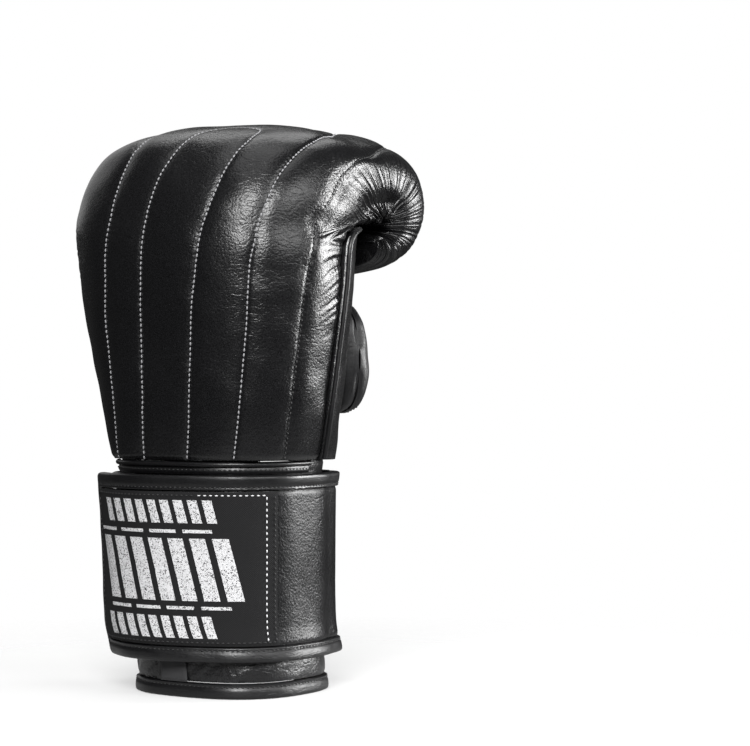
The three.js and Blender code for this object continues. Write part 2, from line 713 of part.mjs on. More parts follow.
function thumbSection(at) {
  const value = (column) => between(THUMB_ROWS, column, at);
  const heading = THREE.MathUtils.degToRad(value('heading'));
  return {
    centre: new THREE.Vector3(
      value('across') * FIST_SIDE,
      value('out') * THUMB_REACH,
      value('up') * CREASE_HEIGHT,
    ),
    normal: new THREE.Vector3(-Math.sin(heading), Math.cos(heading), 0),
    tall: (value('tall') * THUMB_HEIGHT) / 2,
    thick: (value('thick') * THUMB_THICK) / 2,
  };
}

// The most of the thumb's half thickness that its wall may take.
const THUMB_ROOM = 0.9;

function thumbPoint(section, degrees, depth) {
  const [out, up] = rounded(degrees, THUMB_SQUARE);
  const left = 1 - Math.min(THUMB_ROOM, depth / section.thick);
  return section.centre
    .clone()
    .addScaledVector(section.normal, out * section.thick * left)
    .add(new THREE.Vector3(0, 0, up * (section.tall - Math.min(depth, THUMB_ROOM * section.thick))));
}

// Half of the thumb's wall, the padded one outside or the thin one that faces the palm.
function thumbHalf(first, last, depth) {
  const rings = [];
  const stations = 16;
  const steps = 7;
  for (let i = 0; i <= stations; i++) {
    const section = thumbSection(((THUMB_ROWS.length - 1) * i) / stations);
    const angles = Array.from({ length: steps + 1 }, (_, j) => first + ((last - first) * j) / steps);
    const outer = angles.map((degrees) => thumbPoint(section, degrees, 0));
    const inner = angles.map((degrees) => thumbPoint(section, degrees, depth));
    rings.push([...outer, ...inner.reverse()]);
  }
  return loft(rings);
}

const thumbPad = () => thumbHalf(-90 + THUMB_SEAM, 90 - THUMB_SEAM, THUMB_PAD);
const thumbFacing = () => cutAway(thumbHalf(90 + THUMB_SEAM, 270 - THUMB_SEAM, LEATHER), thumbMouth());

// Way from the hand's hollow through the palm panel into the thumb.
function thumbMouth() {
  const centre = new THREE.Vector3(
    MOUTH_ACROSS * FIST_SIDE,
    MOUTH_OUT * THUMB_REACH,
    MOUTH_UP * CREASE_HEIGHT,
  );
  const direction = new THREE.Vector3(-1, 1, 0).normalize();
  const side = new THREE.Vector3(1, 1, 0).normalize();
  const count = 16;
  const rings = [-MOUTH_REACH, MOUTH_REACH].map((along) =>
    Array.from({ length: count }, (_, j) => {
      const angle = (2 * Math.PI * (j + 0.5)) / count;
      return centre
        .clone()
        .addScaledVector(direction, along)
        .addScaledVector(side, (Math.cos(angle) * MOUTH_WIDTH) / 2)
        .add(new THREE.Vector3(0, 0, (Math.sin(angle) * MOUTH_HEIGHT) / 2));
    }),
  );
  return loft(rings);
}

// Size label: it hangs from under the strap, on the back of the sleeve.
function sizeTag() {
  const half = TAG_WIDTH / 2 / GIRTH;
  const low = RIM_WIDTH + GAP;
  return cuffWall({
    places: Array.from({ length: 5 }, (_, i) => i / 4),
    turnsAt: (place) => TAG_TURN - half + place * 2 * half,
    lowAt: () => low,
    highAt: () => low + TAG_HEIGHT,
    offAt: () => TAG_STAND,
    thick: TAG_THICK,
    levels: 1,
  });
}

const SMOOTH_LEATHER = { color: 0x121214, roughness: 0.42, metalness: 0 };
const SOFT_LEATHER = { color: 0x1c1c1e, roughness: 0.62, metalness: 0 };
const WOVEN_CLOTH = { color: 0x202124, roughness: 0.9, metalness: 0 };

const glove = new THREE.Group();

function place(name, geometry, finish) {
  const mesh = new THREE.Mesh(geometry, new THREE.MeshStandardMaterial(finish));
  mesh.name = name;
  glove.add(mesh);
}

place('fist_pad', fistPad(), SMOOTH_LEATHER);
place('palm_panel', palmPanel(), SMOOTH_LEATHER);
place('index_gusset_lower', gusset(0, CREASE_ROW - SEAM_STEP), SOFT_LEATHER);
place('index_gusset_upper', gusset(CREASE_ROW + SEAM_STEP, UPPER_GUSSET_END), SOFT_LEATHER);
place('thumb_pad', thumbPad(), SOFT_LEATHER);
place('thumb_facing', thumbFacing(), SOFT_LEATHER);
place('side_piping', sidePiping(), SMOOTH_LEATHER);
place('base_piping', basePiping(), SMOOTH_LEATHER);
place('base_band', baseBand(), SMOOTH_LEATHER);
place('wrist_sleeve', wristSleeve(), SMOOTH_LEATHER);
place('wrist_rim', wristRim(), SMOOTH_LEATHER);
place('cuff_panel', cuffPanel(), SMOOTH_LEATHER);
place('panel_binding_top', panelBinding(true), SMOOTH_LEATHER);
place('panel_binding_bottom', panelBinding(false), SMOOTH_LEATHER);
place('strap', strap(), SMOOTH_LEATHER);
place('strap_binding', strapBinding(), SMOOTH_LEATHER);
place('patch', patch(), WOVEN_CLOTH);
place('size_tag', sizeTag(), WOVEN_CLOTH);

// The origin is the middle of the rim's underside, in plan the middle of the whole glove.
const box = new THREE.Box3().setFromObject(glove);
const middle = box.getCenter(new THREE.Vector3());
glove.children.forEach((mesh) => mesh.geometry.translate(-middle.x, -middle.y, -box.min.z));

export default glove;
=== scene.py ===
"""Bag glove: padded fist, thumb, split cuff and wrist strap, modelled round its fixed frame.

Shapes are worked out in millimetres, in the glove's own axes: +Z to the knuckles, -Y the back of
the hand, +Y the palm, +X the little finger's side. Meshes are made in metres.
"""

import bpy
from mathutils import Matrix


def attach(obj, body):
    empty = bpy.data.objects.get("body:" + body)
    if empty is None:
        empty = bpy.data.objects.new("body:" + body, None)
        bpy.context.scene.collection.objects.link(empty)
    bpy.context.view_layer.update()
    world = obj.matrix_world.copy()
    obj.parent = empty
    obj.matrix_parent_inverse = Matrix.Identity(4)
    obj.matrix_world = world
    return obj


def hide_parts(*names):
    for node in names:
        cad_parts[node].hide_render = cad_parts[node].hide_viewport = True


bl_info = {
    "name": "Bag Glove",
    "version": (1, 0, 0),
    "blender": (4, 5, 0),
    "location": "View3D > Sidebar > Glove",
    "description": "Builds a padded leather bag glove with its quilting, gathers and strap",
    "category": "Object",
}

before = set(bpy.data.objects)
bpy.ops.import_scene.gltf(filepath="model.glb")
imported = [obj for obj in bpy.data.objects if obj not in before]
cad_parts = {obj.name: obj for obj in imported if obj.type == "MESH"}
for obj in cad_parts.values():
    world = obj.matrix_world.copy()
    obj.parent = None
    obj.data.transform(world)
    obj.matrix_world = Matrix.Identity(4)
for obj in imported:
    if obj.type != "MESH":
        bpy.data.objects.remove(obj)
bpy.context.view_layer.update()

import math

import bpy
import numpy as np
from mathutils.kdtree import KDTree

# Sizes that the shapes share with the frame, in millimetres.
FIST_HALF_WIDTH = 69
KNUCKLE_REACH = 100
CREASE_OUT = 46
CREASE_HEIGHT = 219.5
CREASE_RADIUS = 3
PAD_THICK = 27
SIDE_WALL = 9
CUFF_HEIGHT = 108.5
CUFF_HALF_WIDTH = 42
CUFF_HALF_DEPTH = 40
CUFF_SQUARE = 2.6
LEATHER = 2.5
GAP = 0.3
PIPING = 2.4
PIPING_STAND = 0.42
PIPING_FROM = 0.05
PIPING_TO = 3.84
FIST_BASE = CUFF_HEIGHT + GAP
RIM_WIDTH = 7
RIM_THICK = 5
SLIT_TURN = 0.755
SLIT_GAP = 2.4
SLIT_TOP = 94
FINGER_FLAP_RADIUS = 12
THUMB_FLAP_RADIUS = 26
STRAP_LOW = 17
STRAP_HIGH = 102.5
STRAP_THICK = 2.4
BINDING_WIDTH = 7
BINDING_THICK = 4.4
BINDING_SINK = 0.7
STRAP_CORNER = 10
PATCH_THICK = 0.8
PATCH_FROM = 1.066
PALE_ROW = 5.3
THUMB_REACH = 70
THUMB_HEIGHT = 76
THUMB_THICK = 28
THUMB_PAD = 9
THUMB_SQUARE = 2.3
FIST_SIDE = 67.4467
SEAM_TURN = 0.3
MM = 0.001
PER_METRE = 1000

# How finely the pieces are drawn: the outer grids, and how much coarser their inner grids are.
FIST_GRID = (481, 241)
PALM_GRID = (361, 121)
THUMB_GRID = (181, 97)
INNER_STEP = 4
SHARP_FOLD = 60
EASE_PASSES = 220
RIPPLE_WAVES = 10
QUILT_STEP = 0.7
PATH_STEP = 1.6

# The label, the patch's seam and its pale thread.
TAG_TURN = 0.262
TAG_HALF = 8
TAG_LENGTH = 15
TAG_THICK = 0.8
PATCH_SEAM = 1.6
PALE_LENGTH = 28
PALE_STITCH = (2.6, 1.6, 0.62)
WEAVE_PITCH = 0.0009
CLOTH_SPECULAR = 0.2
TAG_PITCH = 0.0005

# The frame's origin is the middle of the glove's box; the tables below start from the rim's middle.
RIM_MIDDLE = np.array([6.5121, -20.4492, 0.0])

# Sections of the fist, as shares of the sizes above: rise, turn about the crease in degrees, width,
# back, middle, shift, pad, wall, squareness of the back, of the palm by the little finger and by
# the thumb, and the angles where the panels meet: little finger's seam, back's edge, palm's edge.
FIST_ROWS = np.array([
    [0, 0, 0.745, 0.905, 0.47, -0.06522, 0.26, 0.7, 2.6, 2.6, 2.5, -6, 149, 200],
    [0.2, 0, 0.815, 0.945, 0.475, -0.05797, 0.45, 0.8, 2.6, 2.5, 2.2, -5, 149, 196],
    [0.45, 0, 0.89, 0.975, 0.48, -0.06957, 0.7, 1, 2.6, 2.45, 1.85, -6, 149, 194],
    [0.72, 0, 0.96, 1.005, 0.48, -0.08406, 0.92, 1, 2.6, 2.45, 1.8, -7, 151, 196],
    [1, 0, 1, 1.01, 0.48, -0.08986, 1, 1, 2.6, 2.6, 2, -60, 157, 202],
    [1, 22, 0.995, 0.9, 0.43, -0.08986, 1, 1, 2.6, 3, 2.2, -66, 171, 209],
    [1, 42, 0.985, 0.69, 0.33, -0.07971, 0.85, 1, 2.6, 3.2, 2.4, -68, 188, 215],
    [1, 62, 0.965, 0.535, 0.26, -0.06087, 0.68, 1, 2.35, 3.2, 2.6, -68, 217, 218.5],
    [1, 85, 0.94, 0.477, 0.235, -0.04348, 0.62, 1, 2.35, 3.2, 2.6, -68, 236, 236],
    [1, 110, 0.915, 0.485, 0.235, -0.02899, 0.62, 1, 2.4, 3.1, 2.6, -68, 244, 244],
    [1, 137, 0.905, 0.52, 0.24, -0.02174, 0.65, 1, 2.5, 3, 2.5, -67, 245, 245],
    [1, 163, 0.87, 0.525, 0.24, -0.01449, 0.68, 1, 2.5, 2.9, 2.4, -66, 245, 245],
    [1, 188, 0.83, 0.48, 0.215, -0.01449, 0.75, 1, 2.4, 2.8, 2.3, -65, 244, 244],
    [1, 212, 0.795, 0.385, 0.15, -0.01449, 0.8, 0.7, 2.4, 2.8, 2.3, -62, 242, 242],
    [1, 235, 0.77, 0.28, 0.09, -0.01449, 0.8, 0.4, 2.6, 2.8, 2.4, -56, 236, 236],
    [1, 258, 0.755, 0.22, 0.065, -0.01449, 0.8, 0.3, 2.8, 2.8, 2.6, -50, 230, 230],
])
(RISE, TURN, WIDTH, BACK, MIDDLE, SHIFT, PAD, WALL, BACK_SQ, FINGER_SQ, THUMB_SQ, SEAM, EDGE,
 PALM) = range(FIST_ROWS.shape[1])
CREASE_ROW = 4
SEAM_BEND = 8
LAST_ROW = len(FIST_ROWS) - 1

# Sections of the sleeve: rise, width, depth, shift.
CUFF_ROWS = np.array([
    [0, 1, 0.985, 0],
    [0.14, 1, 0.985, -0.02],
    [0.3, 1.02, 0.99, -0.1],
    [0.62, 1.04, 0.995, -0.12],
    [0.9, 1.07, 1.01, -0.14],
    [1, 1.1, 1.04, -0.14],
])

# Sections of the thumb: across, out, up, heading, tall, thick.
THUMB_ROWS = np.array([
    [-1.078, -0.17, 0.75, 90, 0.3, 0.08],
    [-1.097, -0.02, 0.75, 90, 0.75, 0.14],
    [-1.071, 0.15, 0.75, 86, 0.94, 0.28],
    [-1.003, 0.42, 0.747, 72, 0.97, 0.72],
    [-0.8184, 0.7, 0.742, 48, 0.92, 0.95],
    [-0.5422, 0.86, 0.735, 22, 0.87, 1.05],
    [-0.2251, 0.92, 0.728, 4, 0.84, 1.05],
    [0.08184, 0.91, 0.721, -6, 0.8, 1],
    [0.3171, 0.87, 0.715, -14, 0.72, 0.86],
    [0.4501, 0.83, 0.711, -20, 0.54, 0.6],
    [0.5115, 0.81, 0.71, -24, 0.2, 0.24],
])

# How far the strap and the panel stand off the sleeve, in thicknesses of the binding, by turns.
STRAP_LIFTS = [(0.8, 0.3), (0.835, 0.3), (0.87, 1.4), (0.93, 0.42), (1, 0.32), (1.16, 0.36),
               (1.29, 1.5), (1.36, 1.6), (1.42, 2.1)]
PANEL_LIFTS = [(0.315, 0.35), (0.68, 0.35), (0.72, 0.75), (0.76, 0.9), (0.795, 1.6), (0.84, 1.7)]

# Quilting lines on the fist: places among its rows, and angles round it.
INNER_LINE = [
    (0, 101), (0.73, 98.8), (1.21, 97.2), (1.65, 96), (2.06, 95), (2.48, 94), (2.88, 93.1),
    (3.38, 92.1), (3.79, 91.3), (4.34, 90.7), (4.64, 90.2), (4.94, 89.6), (5.21, 89), (5.5, 88.6),
    (5.74, 86.6), (5.88, 82.4), (5.9, 77), (5.82, 71), (5.56, 66.6), (5.22, 64.3), (4.9, 65.2),
    (4.53, 67.4), (4.19, 69.5), (3.68, 72), (3.25, 73.9), (2.81, 75.7), (2.46, 76.8), (2.04, 77.8),
    (1.6, 78.8), (1.12, 79.8), (0.59, 80.8), (0, 82.2),
]
MIDDLE_LINE = [
    (0, 127), (0.71, 121.8), (1.23, 119), (1.68, 117), (2.11, 115.5), (2.49, 114.3),
    (3.01, 110.8), (3.49, 108.8), (4, 106.5), (4.48, 106), (5, 106), (5.5, 107), (6.3, 113),
    (7.2, 124), (8.1, 134), (8.9, 139.5), (9.4, 139), (9.85, 129), (10.1, 112), (10, 94),
    (9.55, 82.5), (8.95, 77), (8.2, 66), (7.4, 55), (6.6, 45.5), (6.24, 42.5), (5.5, 37),
    (5, 36.5), (4.55, 40), (4.15, 42.8), (3.65, 45.2), (3.3, 48), (2.9, 48.8), (2.46, 49.2),
    (2.04, 50.2), (1.6, 51.2), (1.14, 52.2), (0.6, 53.2), (0, 54.5),
]
OUTER_LINE = [
    (0, 18), (0.59, 18.8), (1.12, 18.8), (1.6, 18), (2.04, 17.2), (2.46, 16.5), (2.85, 16),
    (3.23, 14.5), (3.61, 11.5), (4.24, 8), (4.71, 5), (5.2, 5), (5.54, 6), (6.3, 12),
    (7.15, 19.5), (8, 29), (8.6, 36), (9.3, 46), (10, 58), (10.6, 72), (11, 88), (11.1, 103),
    (11.08, 123), (11, 143.5), (10.64, 163), (10.2, 172), (9.66, 178), (8.9, 180.5),
    (8.16, 179.5), (7.5, 176.5), (6.96, 172), (6.18, 160), (5.8, 152),
]


class GloveSizes(bpy.types.PropertyGroup):
    quilt_depth: bpy.props.FloatProperty(
        name="Quilting depth", description="Depth of the sewn lines on the fist",
        default=0.0013, unit="LENGTH")
    gather_depth: bpy.props.FloatProperty(
        name="Gather depth", description="Depth of the gathers where the fingers curl",
        default=0.0021, unit="LENGTH")
    stitch_pitch: bpy.props.FloatProperty(
        name="Stitch pitch", description="Distance from one stitch to the next",
        default=0.0024, unit="LENGTH")
    stitch_width: bpy.props.FloatProperty(
        name="Thread width", description="Thickness of the sewing thread",
        default=0.00078, unit="LENGTH")


def colour_of(name, what, *channels):
    return bpy.props.FloatVectorProperty(
        name=name, description=f"Colour of the {what}", subtype="COLOR", size=4,
        default=(*channels, 1))


class GloveColours(bpy.types.PropertyGroup):
    leather: colour_of("Smooth leather", "glossy leather", 0.0036, 0.0036, 0.004)
    soft: colour_of("Soft leather", "thumb and the gusset", 0.0075, 0.0075, 0.0082)
    cloth: colour_of("Patch", "woven patch", 0.009, 0.009, 0.0095)
    print_colour: colour_of("Print", "flecked print on the patch", 0.62, 0.62, 0.63)
    thread: colour_of("Thread", "quilting thread", 0.3, 0.3, 0.31)
    pale_thread: colour_of("Pale thread", "thread round the patch", 0.72, 0.72, 0.73)
    # Also used on the outer quilting line as painted shade of the grey quilting thread.
    dark_thread: colour_of("Dark thread", "thread in the bindings", 0.011, 0.011, 0.0115)


# Curves, tables and surfaces.


def between(values, at):
    """A column of a table between its rows, on a smooth curve through them."""
    values = np.asarray(values, float)
    last = len(values) - 1
    at = np.asarray(at, float)
    i = np.clip(np.floor(at).astype(int), 0, last - 1)
    t = at - i
    b, c = values[i], values[i + 1]
    a = np.where(i > 0, values[np.maximum(i - 1, 0)], 2 * b - c)
    d = np.where(i + 1 < last, values[np.minimum(i + 2, last)], 2 * c - b)
    square = (2 * a - 5 * b + 4 * c - d) * t * t
    return 0.5 * (2 * b + (c - a) * t + square + (3 * b - a - 3 * c + d) * t ** 3)


def smoothstep(low, high, value):
    part = np.clip((np.asarray(value, float) - low) / (high - low), 0, 1)
    return part * part * (3 - 2 * part)


def bell(distance, width):
    """1 where the distance is nothing, falling to nothing beyond the width."""
    return np.exp(-((distance / width) ** 2))


def unit(vectors):
    return vectors / np.linalg.norm(vectors, axis=-1, keepdims=True)


def rounded(degrees, square):
    """Shares of the half width and the half depth of a rounded outline at an angle."""
    angle = np.radians(degrees)
    bend = 2 / np.asarray(square, float)
    across, deep = np.cos(angle), np.sin(angle)
    return np.sign(across) * np.abs(across) ** bend, np.sign(deep) * np.abs(deep) ** bend


def fist_row(column, at):
    return between(FIST_ROWS[:, column], at)


def fist_point(at, degrees, side=0, back=0, palm=0):
    """Points of the fist at places among its rows and angles, moved in by depths."""
    at, degrees = np.broadcast_arrays(np.asarray(at, float), np.mod(degrees, 360))
    row = [fist_row(k, at) for k in range(PALM + 1)]
    reach_back, reach_middle = row[BACK] * KNUCKLE_REACH, row[MIDDLE] * KNUCKLE_REACH
    height = FIST_BASE + np.minimum(1, row[RISE]) * (CREASE_HEIGHT - FIST_BASE)
    turn = np.radians(np.where(at <= CREASE_ROW, 0, row[TURN]))
    palm_square = np.where(degrees > 270, row[FINGER_SQ], row[THUMB_SQ])
    across, deep = rounded(degrees, np.where(degrees <= 180, row[BACK_SQ], palm_square))
    x = row[SHIFT] * FIST_HALF_WIDTH + across * (row[WIDTH] * FIST_HALF_WIDTH - side)
    room = reach_middle - CREASE_RADIUS
    inward = room - np.minimum(palm, 0.8 * room)
    reach = reach_middle + deep * np.where(deep > 0, reach_back - back - reach_middle, inward)
    y = CREASE_OUT - reach * np.cos(turn)
    z = height + reach * np.sin(turn)
    return np.stack([x, y, z], -1) + RIM_MIDDLE


def seam_angle(at):
    """Angle of the little finger's seam, which bends sharply just below the crease."""
    at = np.asarray(at, float)
    i = np.clip(np.floor(at).astype(int), 0, LAST_ROW - 1)
    part = (at - i) ** np.where(i == CREASE_ROW - 1, SEAM_BEND, 1)
    return FIST_ROWS[i, SEAM] + (FIST_ROWS[i + 1, SEAM] - FIST_ROWS[i, SEAM]) * part


def palm_angle(at):
    return fist_row(PALM, at)


def edge_angle(at):
    return np.minimum(fist_row(EDGE, at), palm_angle(at))


def lengths_along(points):
    """Length from the start of each line of points to each of its points."""
    steps = np.linalg.norm(np.diff(points, axis=-2), axis=-1)
    return np.concatenate([np.zeros(steps.shape[:-1] + (1,)), np.cumsum(steps, -1)], -1)


def even(points_at, low, high, count, fine=400):
    """Parameters from low to high whose points are evenly spaced."""
    values = np.linspace(low, high, fine)
    length = lengths_along(points_at(values))
    return np.interp(np.linspace(0, length[-1], count), length, values)


def fist_grid(start, end, rows, first, last, columns):
    """Places and angles of an even grid on a panel of the fist."""
    ats = even(lambda at: fist_point(at, 60), start, end, rows)
    ats = 0.6 * ats + 0.4 * np.linspace(start, end, rows)
    degrees = np.empty((rows, columns))
    for i, at in enumerate(ats):
        low, high = first(at) + SEAM_TURN, last(at) - SEAM_TURN
        degrees[i] = even(lambda value: fist_point(at, value), low, high, columns, 160)
    return np.repeat(ats[:, None], columns, 1), degrees


def normals_of(points, inner):
    """Unit normals of a grid of points, away from the points inside."""
    normals = np.cross(np.gradient(points, axis=0), np.gradient(points, axis=1))
    normals /= np.linalg.norm(normals, axis=-1, keepdims=True) + 1e-12
    away = np.sign(((points - inner) * normals).sum(-1).mean())
    return normals * (away or 1)


def eased(points, share):
    """A grid that is evened out lengthwise, where the share is above nothing."""
    for _ in range(EASE_PASSES):
        middle = 0.25 * (points[:-2] + 2 * points[1:-1] + points[2:])
        points = points.copy()
        points[1:-1] += (middle - points[1:-1]) * share[1:-1, :, None]
    return points


def ripples(points, wave, seed):
    """Soft unevenness between about -1 and 1, from plane waves in random directions."""
    draw = np.random.default_rng(seed)
    total = np.zeros(points.shape[:-1])
    for _ in range(RIPPLE_WAVES):
        direction = draw.normal(size=3)
        direction /= np.linalg.norm(direction)
        length = wave * draw.uniform(0.7, 1.6)
        total += np.sin(points @ direction * (2 * math.pi / length) + draw.uniform(0, 6.28))
    return total / math.sqrt(RIPPLE_WAVES)


def lane(phase, seed, jitter=0.28):
    """Uneven gathers along a phase: 0 on their crests and 1 in the sharp valleys between them."""
    draw = np.random.default_rng(seed)
    waves = sum(
        draw.uniform(0.3, 1)
        * np.sin(phase * draw.uniform(0.15, 0.9) * 2 * math.pi + draw.uniform(0, 6.28))
        for _ in range(5)
    )
    return 1 - np.abs(np.sin(math.pi * (phase + jitter * waves))) ** 0.7


def edge_distances(points):
    """Distances in a grid from its first and its last column, along the rows."""
    length = lengths_along(points)
    return length, length[:, -1:] - length


# Meshes.


def make_object(name, points, faces, uvs=None):
    """A smooth mesh object in metres, with its faces outwards."""
    points = np.asarray(points, float).reshape(-1, 3) * MM
    mesh = bpy.data.meshes.new(name)
    mesh.from_pydata(points.tolist(), [], faces)
    mesh.update()
    if uvs is not None:
        layer = mesh.uv_layers.new(name="UVMap")
        loops = np.empty(len(mesh.loops), int)
        mesh.loops.foreach_get("vertex_index", loops)
        layer.data.foreach_set("uv", np.asarray(uvs, float)[loops].ravel())
    made = bpy.data.objects.new(name, mesh)
    bpy.context.collection.objects.link(made)
    if signed_volume(mesh) < 0:
        mesh.flip_normals()
    mesh.polygons.foreach_set("use_smooth", [True] * len(mesh.polygons))
    mesh.update()
    return made


def signed_volume(mesh):
    mesh.calc_loop_triangles()
    points = np.empty(len(mesh.vertices) * 3)
    mesh.vertices.foreach_get("co", points)
    corners = np.empty(len(mesh.loop_triangles) * 3, int)
    mesh.loop_triangles.foreach_get("vertices", corners)
    a, b, c = points.reshape(-1, 3)[corners].reshape(-1, 3, 3).transpose(1, 0, 2)
    return (np.cross(a, b) * c).sum()


def ring_of(rows, columns):
    """Indices round the border of a grid."""
    top = [(0, j) for j in range(columns - 1)]
    right = [(i, columns - 1) for i in range(rows - 1)]
    bottom = [(rows - 1, j) for j in range(columns - 1, 0, -1)]
    left = [(i, 0) for i in range(rows - 1, 0, -1)]
    return top + right + bottom + left


def shell(name, outer, inner, uvs=None):
    """Closed wall between a fine outer grid and an inner grid that may be a whole times coarser."""
    rows, columns = outer.shape[:2]
    low_rows, low_columns = inner.shape[:2]
    step = (rows - 1) // (low_rows - 1)
    base = rows * columns
    i, j = np.meshgrid(np.arange(rows - 1), np.arange(columns - 1), indexing="ij")
    a = (i * columns + j).ravel()
    faces = np.stack([a, a + columns, a + columns + 1, a + 1], 1).tolist()
    i, j = np.meshgrid(np.arange(low_rows - 1), np.arange(low_columns - 1), indexing="ij")
    a = (i * low_columns + j).ravel() + base
    faces += np.stack([a, a + 1, a + low_columns + 1, a + low_columns], 1).tolist()
    fine = [r * columns + c for r, c in ring_of(rows, columns)]
    coarse = [base + r * low_columns + c for r, c in ring_of(low_rows, low_columns)]
    for k, here in enumerate(coarse):
        ahead = coarse[(k + 1) % len(coarse)]
        chain = [fine[(k * step + s) % len(fine)] for s in range(step + 1)]
        for one, two in zip(chain[:-1], chain[1:-1]):
            faces.append([here, one, two])
        faces.append([here, chain[-2], chain[-1], ahead])
    points = np.concatenate([outer.reshape(-1, 3), inner.reshape(-1, 3)])
    if uvs is not None:
        uvs = np.concatenate([uvs.reshape(-1, 2), uvs[::step, ::step].reshape(-1, 2)])
    return make_object(name, points, faces, uvs)


def tube_of_rings(name, rings):
    """Closed body through rings of equal length, with flat ends."""
    count, around = rings.shape[:2]
    ends = [list(range(around))[::-1], list(range((count - 1) * around, count * around))]
    faces = []
    for one in range(0, (count - 1) * around, around):
        for j in range(around):
            ahead = (j + 1) % around
            faces.append([one + j, one + ahead, one + around + ahead, one + around + j])
    return make_object(name, rings, faces + ends)


def finish_piece(made, finish, *nodes, fill=None):
    """Gives a piece its material, its body and what it stands for."""
    made.data.materials.clear()
    made.data.materials.append(material(finish))
    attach(made, "root")
    if nodes:
        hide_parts(*nodes)
        crisp(made)
    return made


def select_only(made):
    bpy.ops.object.select_all(action="DESELECT")
    made.select_set(True)
    bpy.context.view_layer.objects.active = made


def crisp(made):
    """Smooth shading that breaks at sharp folds."""
    select_only(made)
    bpy.ops.object.shade_smooth_by_angle(angle=math.radians(SHARP_FOLD))
    made.select_set(False)


# Materials.


class Nodes:
    """Short hand for building a material's node tree."""

    def __init__(self, name):
        self.material = bpy.data.materials.new(name)
        self.material.use_nodes = True
        self.tree = self.material.node_tree
        self.shader = self.tree.nodes["Principled BSDF"]

    def feed(self, socket, value):
        if isinstance(value, bpy.types.NodeSocket):
            self.tree.links.new(value, socket)
        else:
            socket.default_value = value

    def add(self, kind, inputs=None, **settings):
        node = self.tree.nodes.new(kind)
        for key, value in settings.items():
            setattr(node, key, value)
        for key, value in (inputs or {}).items():
            self.feed(node.inputs[key], value)
        return node

    def math(self, operation, a, b=0.0, clamp=False):
        return self.add("ShaderNodeMath", {0: a, 1: b}, operation=operation,
                        use_clamp=clamp).outputs[0]

    def times(self, a, b):
        return self.math("MULTIPLY", a, b)

    def plus(self, a, b, clamp=False):
        return self.math("ADD", a, b, clamp)

    def texture_place(self, kind):
        return self.add("ShaderNodeTexCoord").outputs[kind]

    def ramp(self, value, low, high, to_low=0.0, to_high=1.0):
        node = self.add("ShaderNodeMapRange", {"Value": value, "From Min": low, "From Max": high,
                                               "To Min": to_low, "To Max": to_high})
        return node.outputs[0]

    def noise(self, vector, scale, detail=2.0, rough=0.5):
        node = self.add("ShaderNodeTexNoise", {"Vector": vector, "Scale": scale, "Detail": detail,
                                               "Roughness": rough})
        return node.outputs["Fac"]

    def mix(self, factor, a, b):
        return self.add("ShaderNodeMix", {"Factor": factor, 6: a, 7: b},
                        data_type="RGBA").outputs[2]

    def bump(self, height, distance, strength=1.0, normal=None):
        inputs = {"Height": height, "Distance": distance, "Strength": strength}
        if normal is not None:
            inputs["Normal"] = normal
        return self.add("ShaderNodeBump", inputs).outputs["Normal"]

    def put(self, **values):
        for key, value in values.items():
            self.feed(self.shader.inputs[key.replace("_", " ").title()], value)


def brighter(colour, factor):
    return tuple(min(1, channel * factor) for channel in colour[:3]) + (1,)


PORES = 1050


def leather_material(name, colour, low, high, grain=0.00017, specular=0.5):
    """Black grained leather: pores, fine creases, and a sheen that wanders over it."""
    n = Nodes(name)
    place = n.texture_place("Object")
    pores = n.add("ShaderNodeTexVoronoi", {"Vector": place, "Scale": PORES, "Randomness": 1.0},
                  feature="SMOOTH_F1").outputs["Distance"]
    fine = n.noise(place, PORES * 2.3, 3, 0.6)
    soft = n.noise(place, 120, 2, 0.5)
    broad = n.noise(place, 28, 3, 0.5)
    stretched = n.add("ShaderNodeMapping", {"Vector": place, "Rotation": (0.2, 0.35, 0.0),
                                            "Scale": (0.35, 0.35, 1.0)}).outputs[0]
    crease = n.math("SUBTRACT", n.noise(stretched, 300, 3, 0.5), 0.5)
    crease = n.ramp(n.math("ABSOLUTE", crease), 0.0, 0.05)
    n.put(base_color=n.mix(n.ramp(fine, 0.42, 0.68), brighter(colour, 0.6), brighter(colour, 2.6)))
    sheen = n.plus(n.ramp(broad, 0.3, 0.7, low, high), n.ramp(fine, 0.3, 0.7, -0.06, 0.08))
    n.put(roughness=sheen)
    height = n.plus(n.times(pores, -1.0), n.times(fine, 0.45))
    rough = n.bump(height, grain, 0.6)
    folded = n.bump(crease, 0.00007, n.ramp(broad, 0.42, 0.62, 0.05, 0.85), rough)
    n.put(normal=n.bump(soft, 0.00013, 0.4, folded))
    n.shader.inputs["Specular IOR Level"].default_value = specular
    return n.material


def thread_material(name, colour):
    """Twisted sewing thread."""
    n = Nodes(name)
    place = n.texture_place("Object")
    strands = n.noise(place, 3800, 2, 0.5)
    n.put(base_color=n.mix(n.ramp(strands, 0.3, 0.7), brighter(colour, 0.7),
                           brighter(colour, 1.15)))
    n.put(roughness=0.55, normal=n.bump(strands, 0.0001, 0.6))
    return n.material


def sizes():
    return bpy.context.scene.glove_sizes


def material(name):
    """One of the glove's finishes, made when it is first asked for."""
    if name in bpy.data.materials:
        return bpy.data.materials[name]
    tone = bpy.context.scene.glove_colours
    leathers = {
        "smooth leather": (tone.leather, 0.24, 0.33),
        "soft leather": (tone.soft, 0.4, 0.5, 0.00008),
        "strap leather": (tone.leather, 0.27, 0.36, 0.00017, 0.27),
        "binding leather": (tone.leather, 0.32, 0.42, 0.00005),
    }
    threads = {"quilting thread": tone.thread, "pale thread": tone.pale_thread,
               "dark thread": tone.dark_thread}
    if name in leathers:
        return leather_material(name, *leathers[name])
    if name in threads:
        return thread_material(name, threads[name])
    return patch_material(name, tone) if name == "woven patch" else tag_material(name, tone)


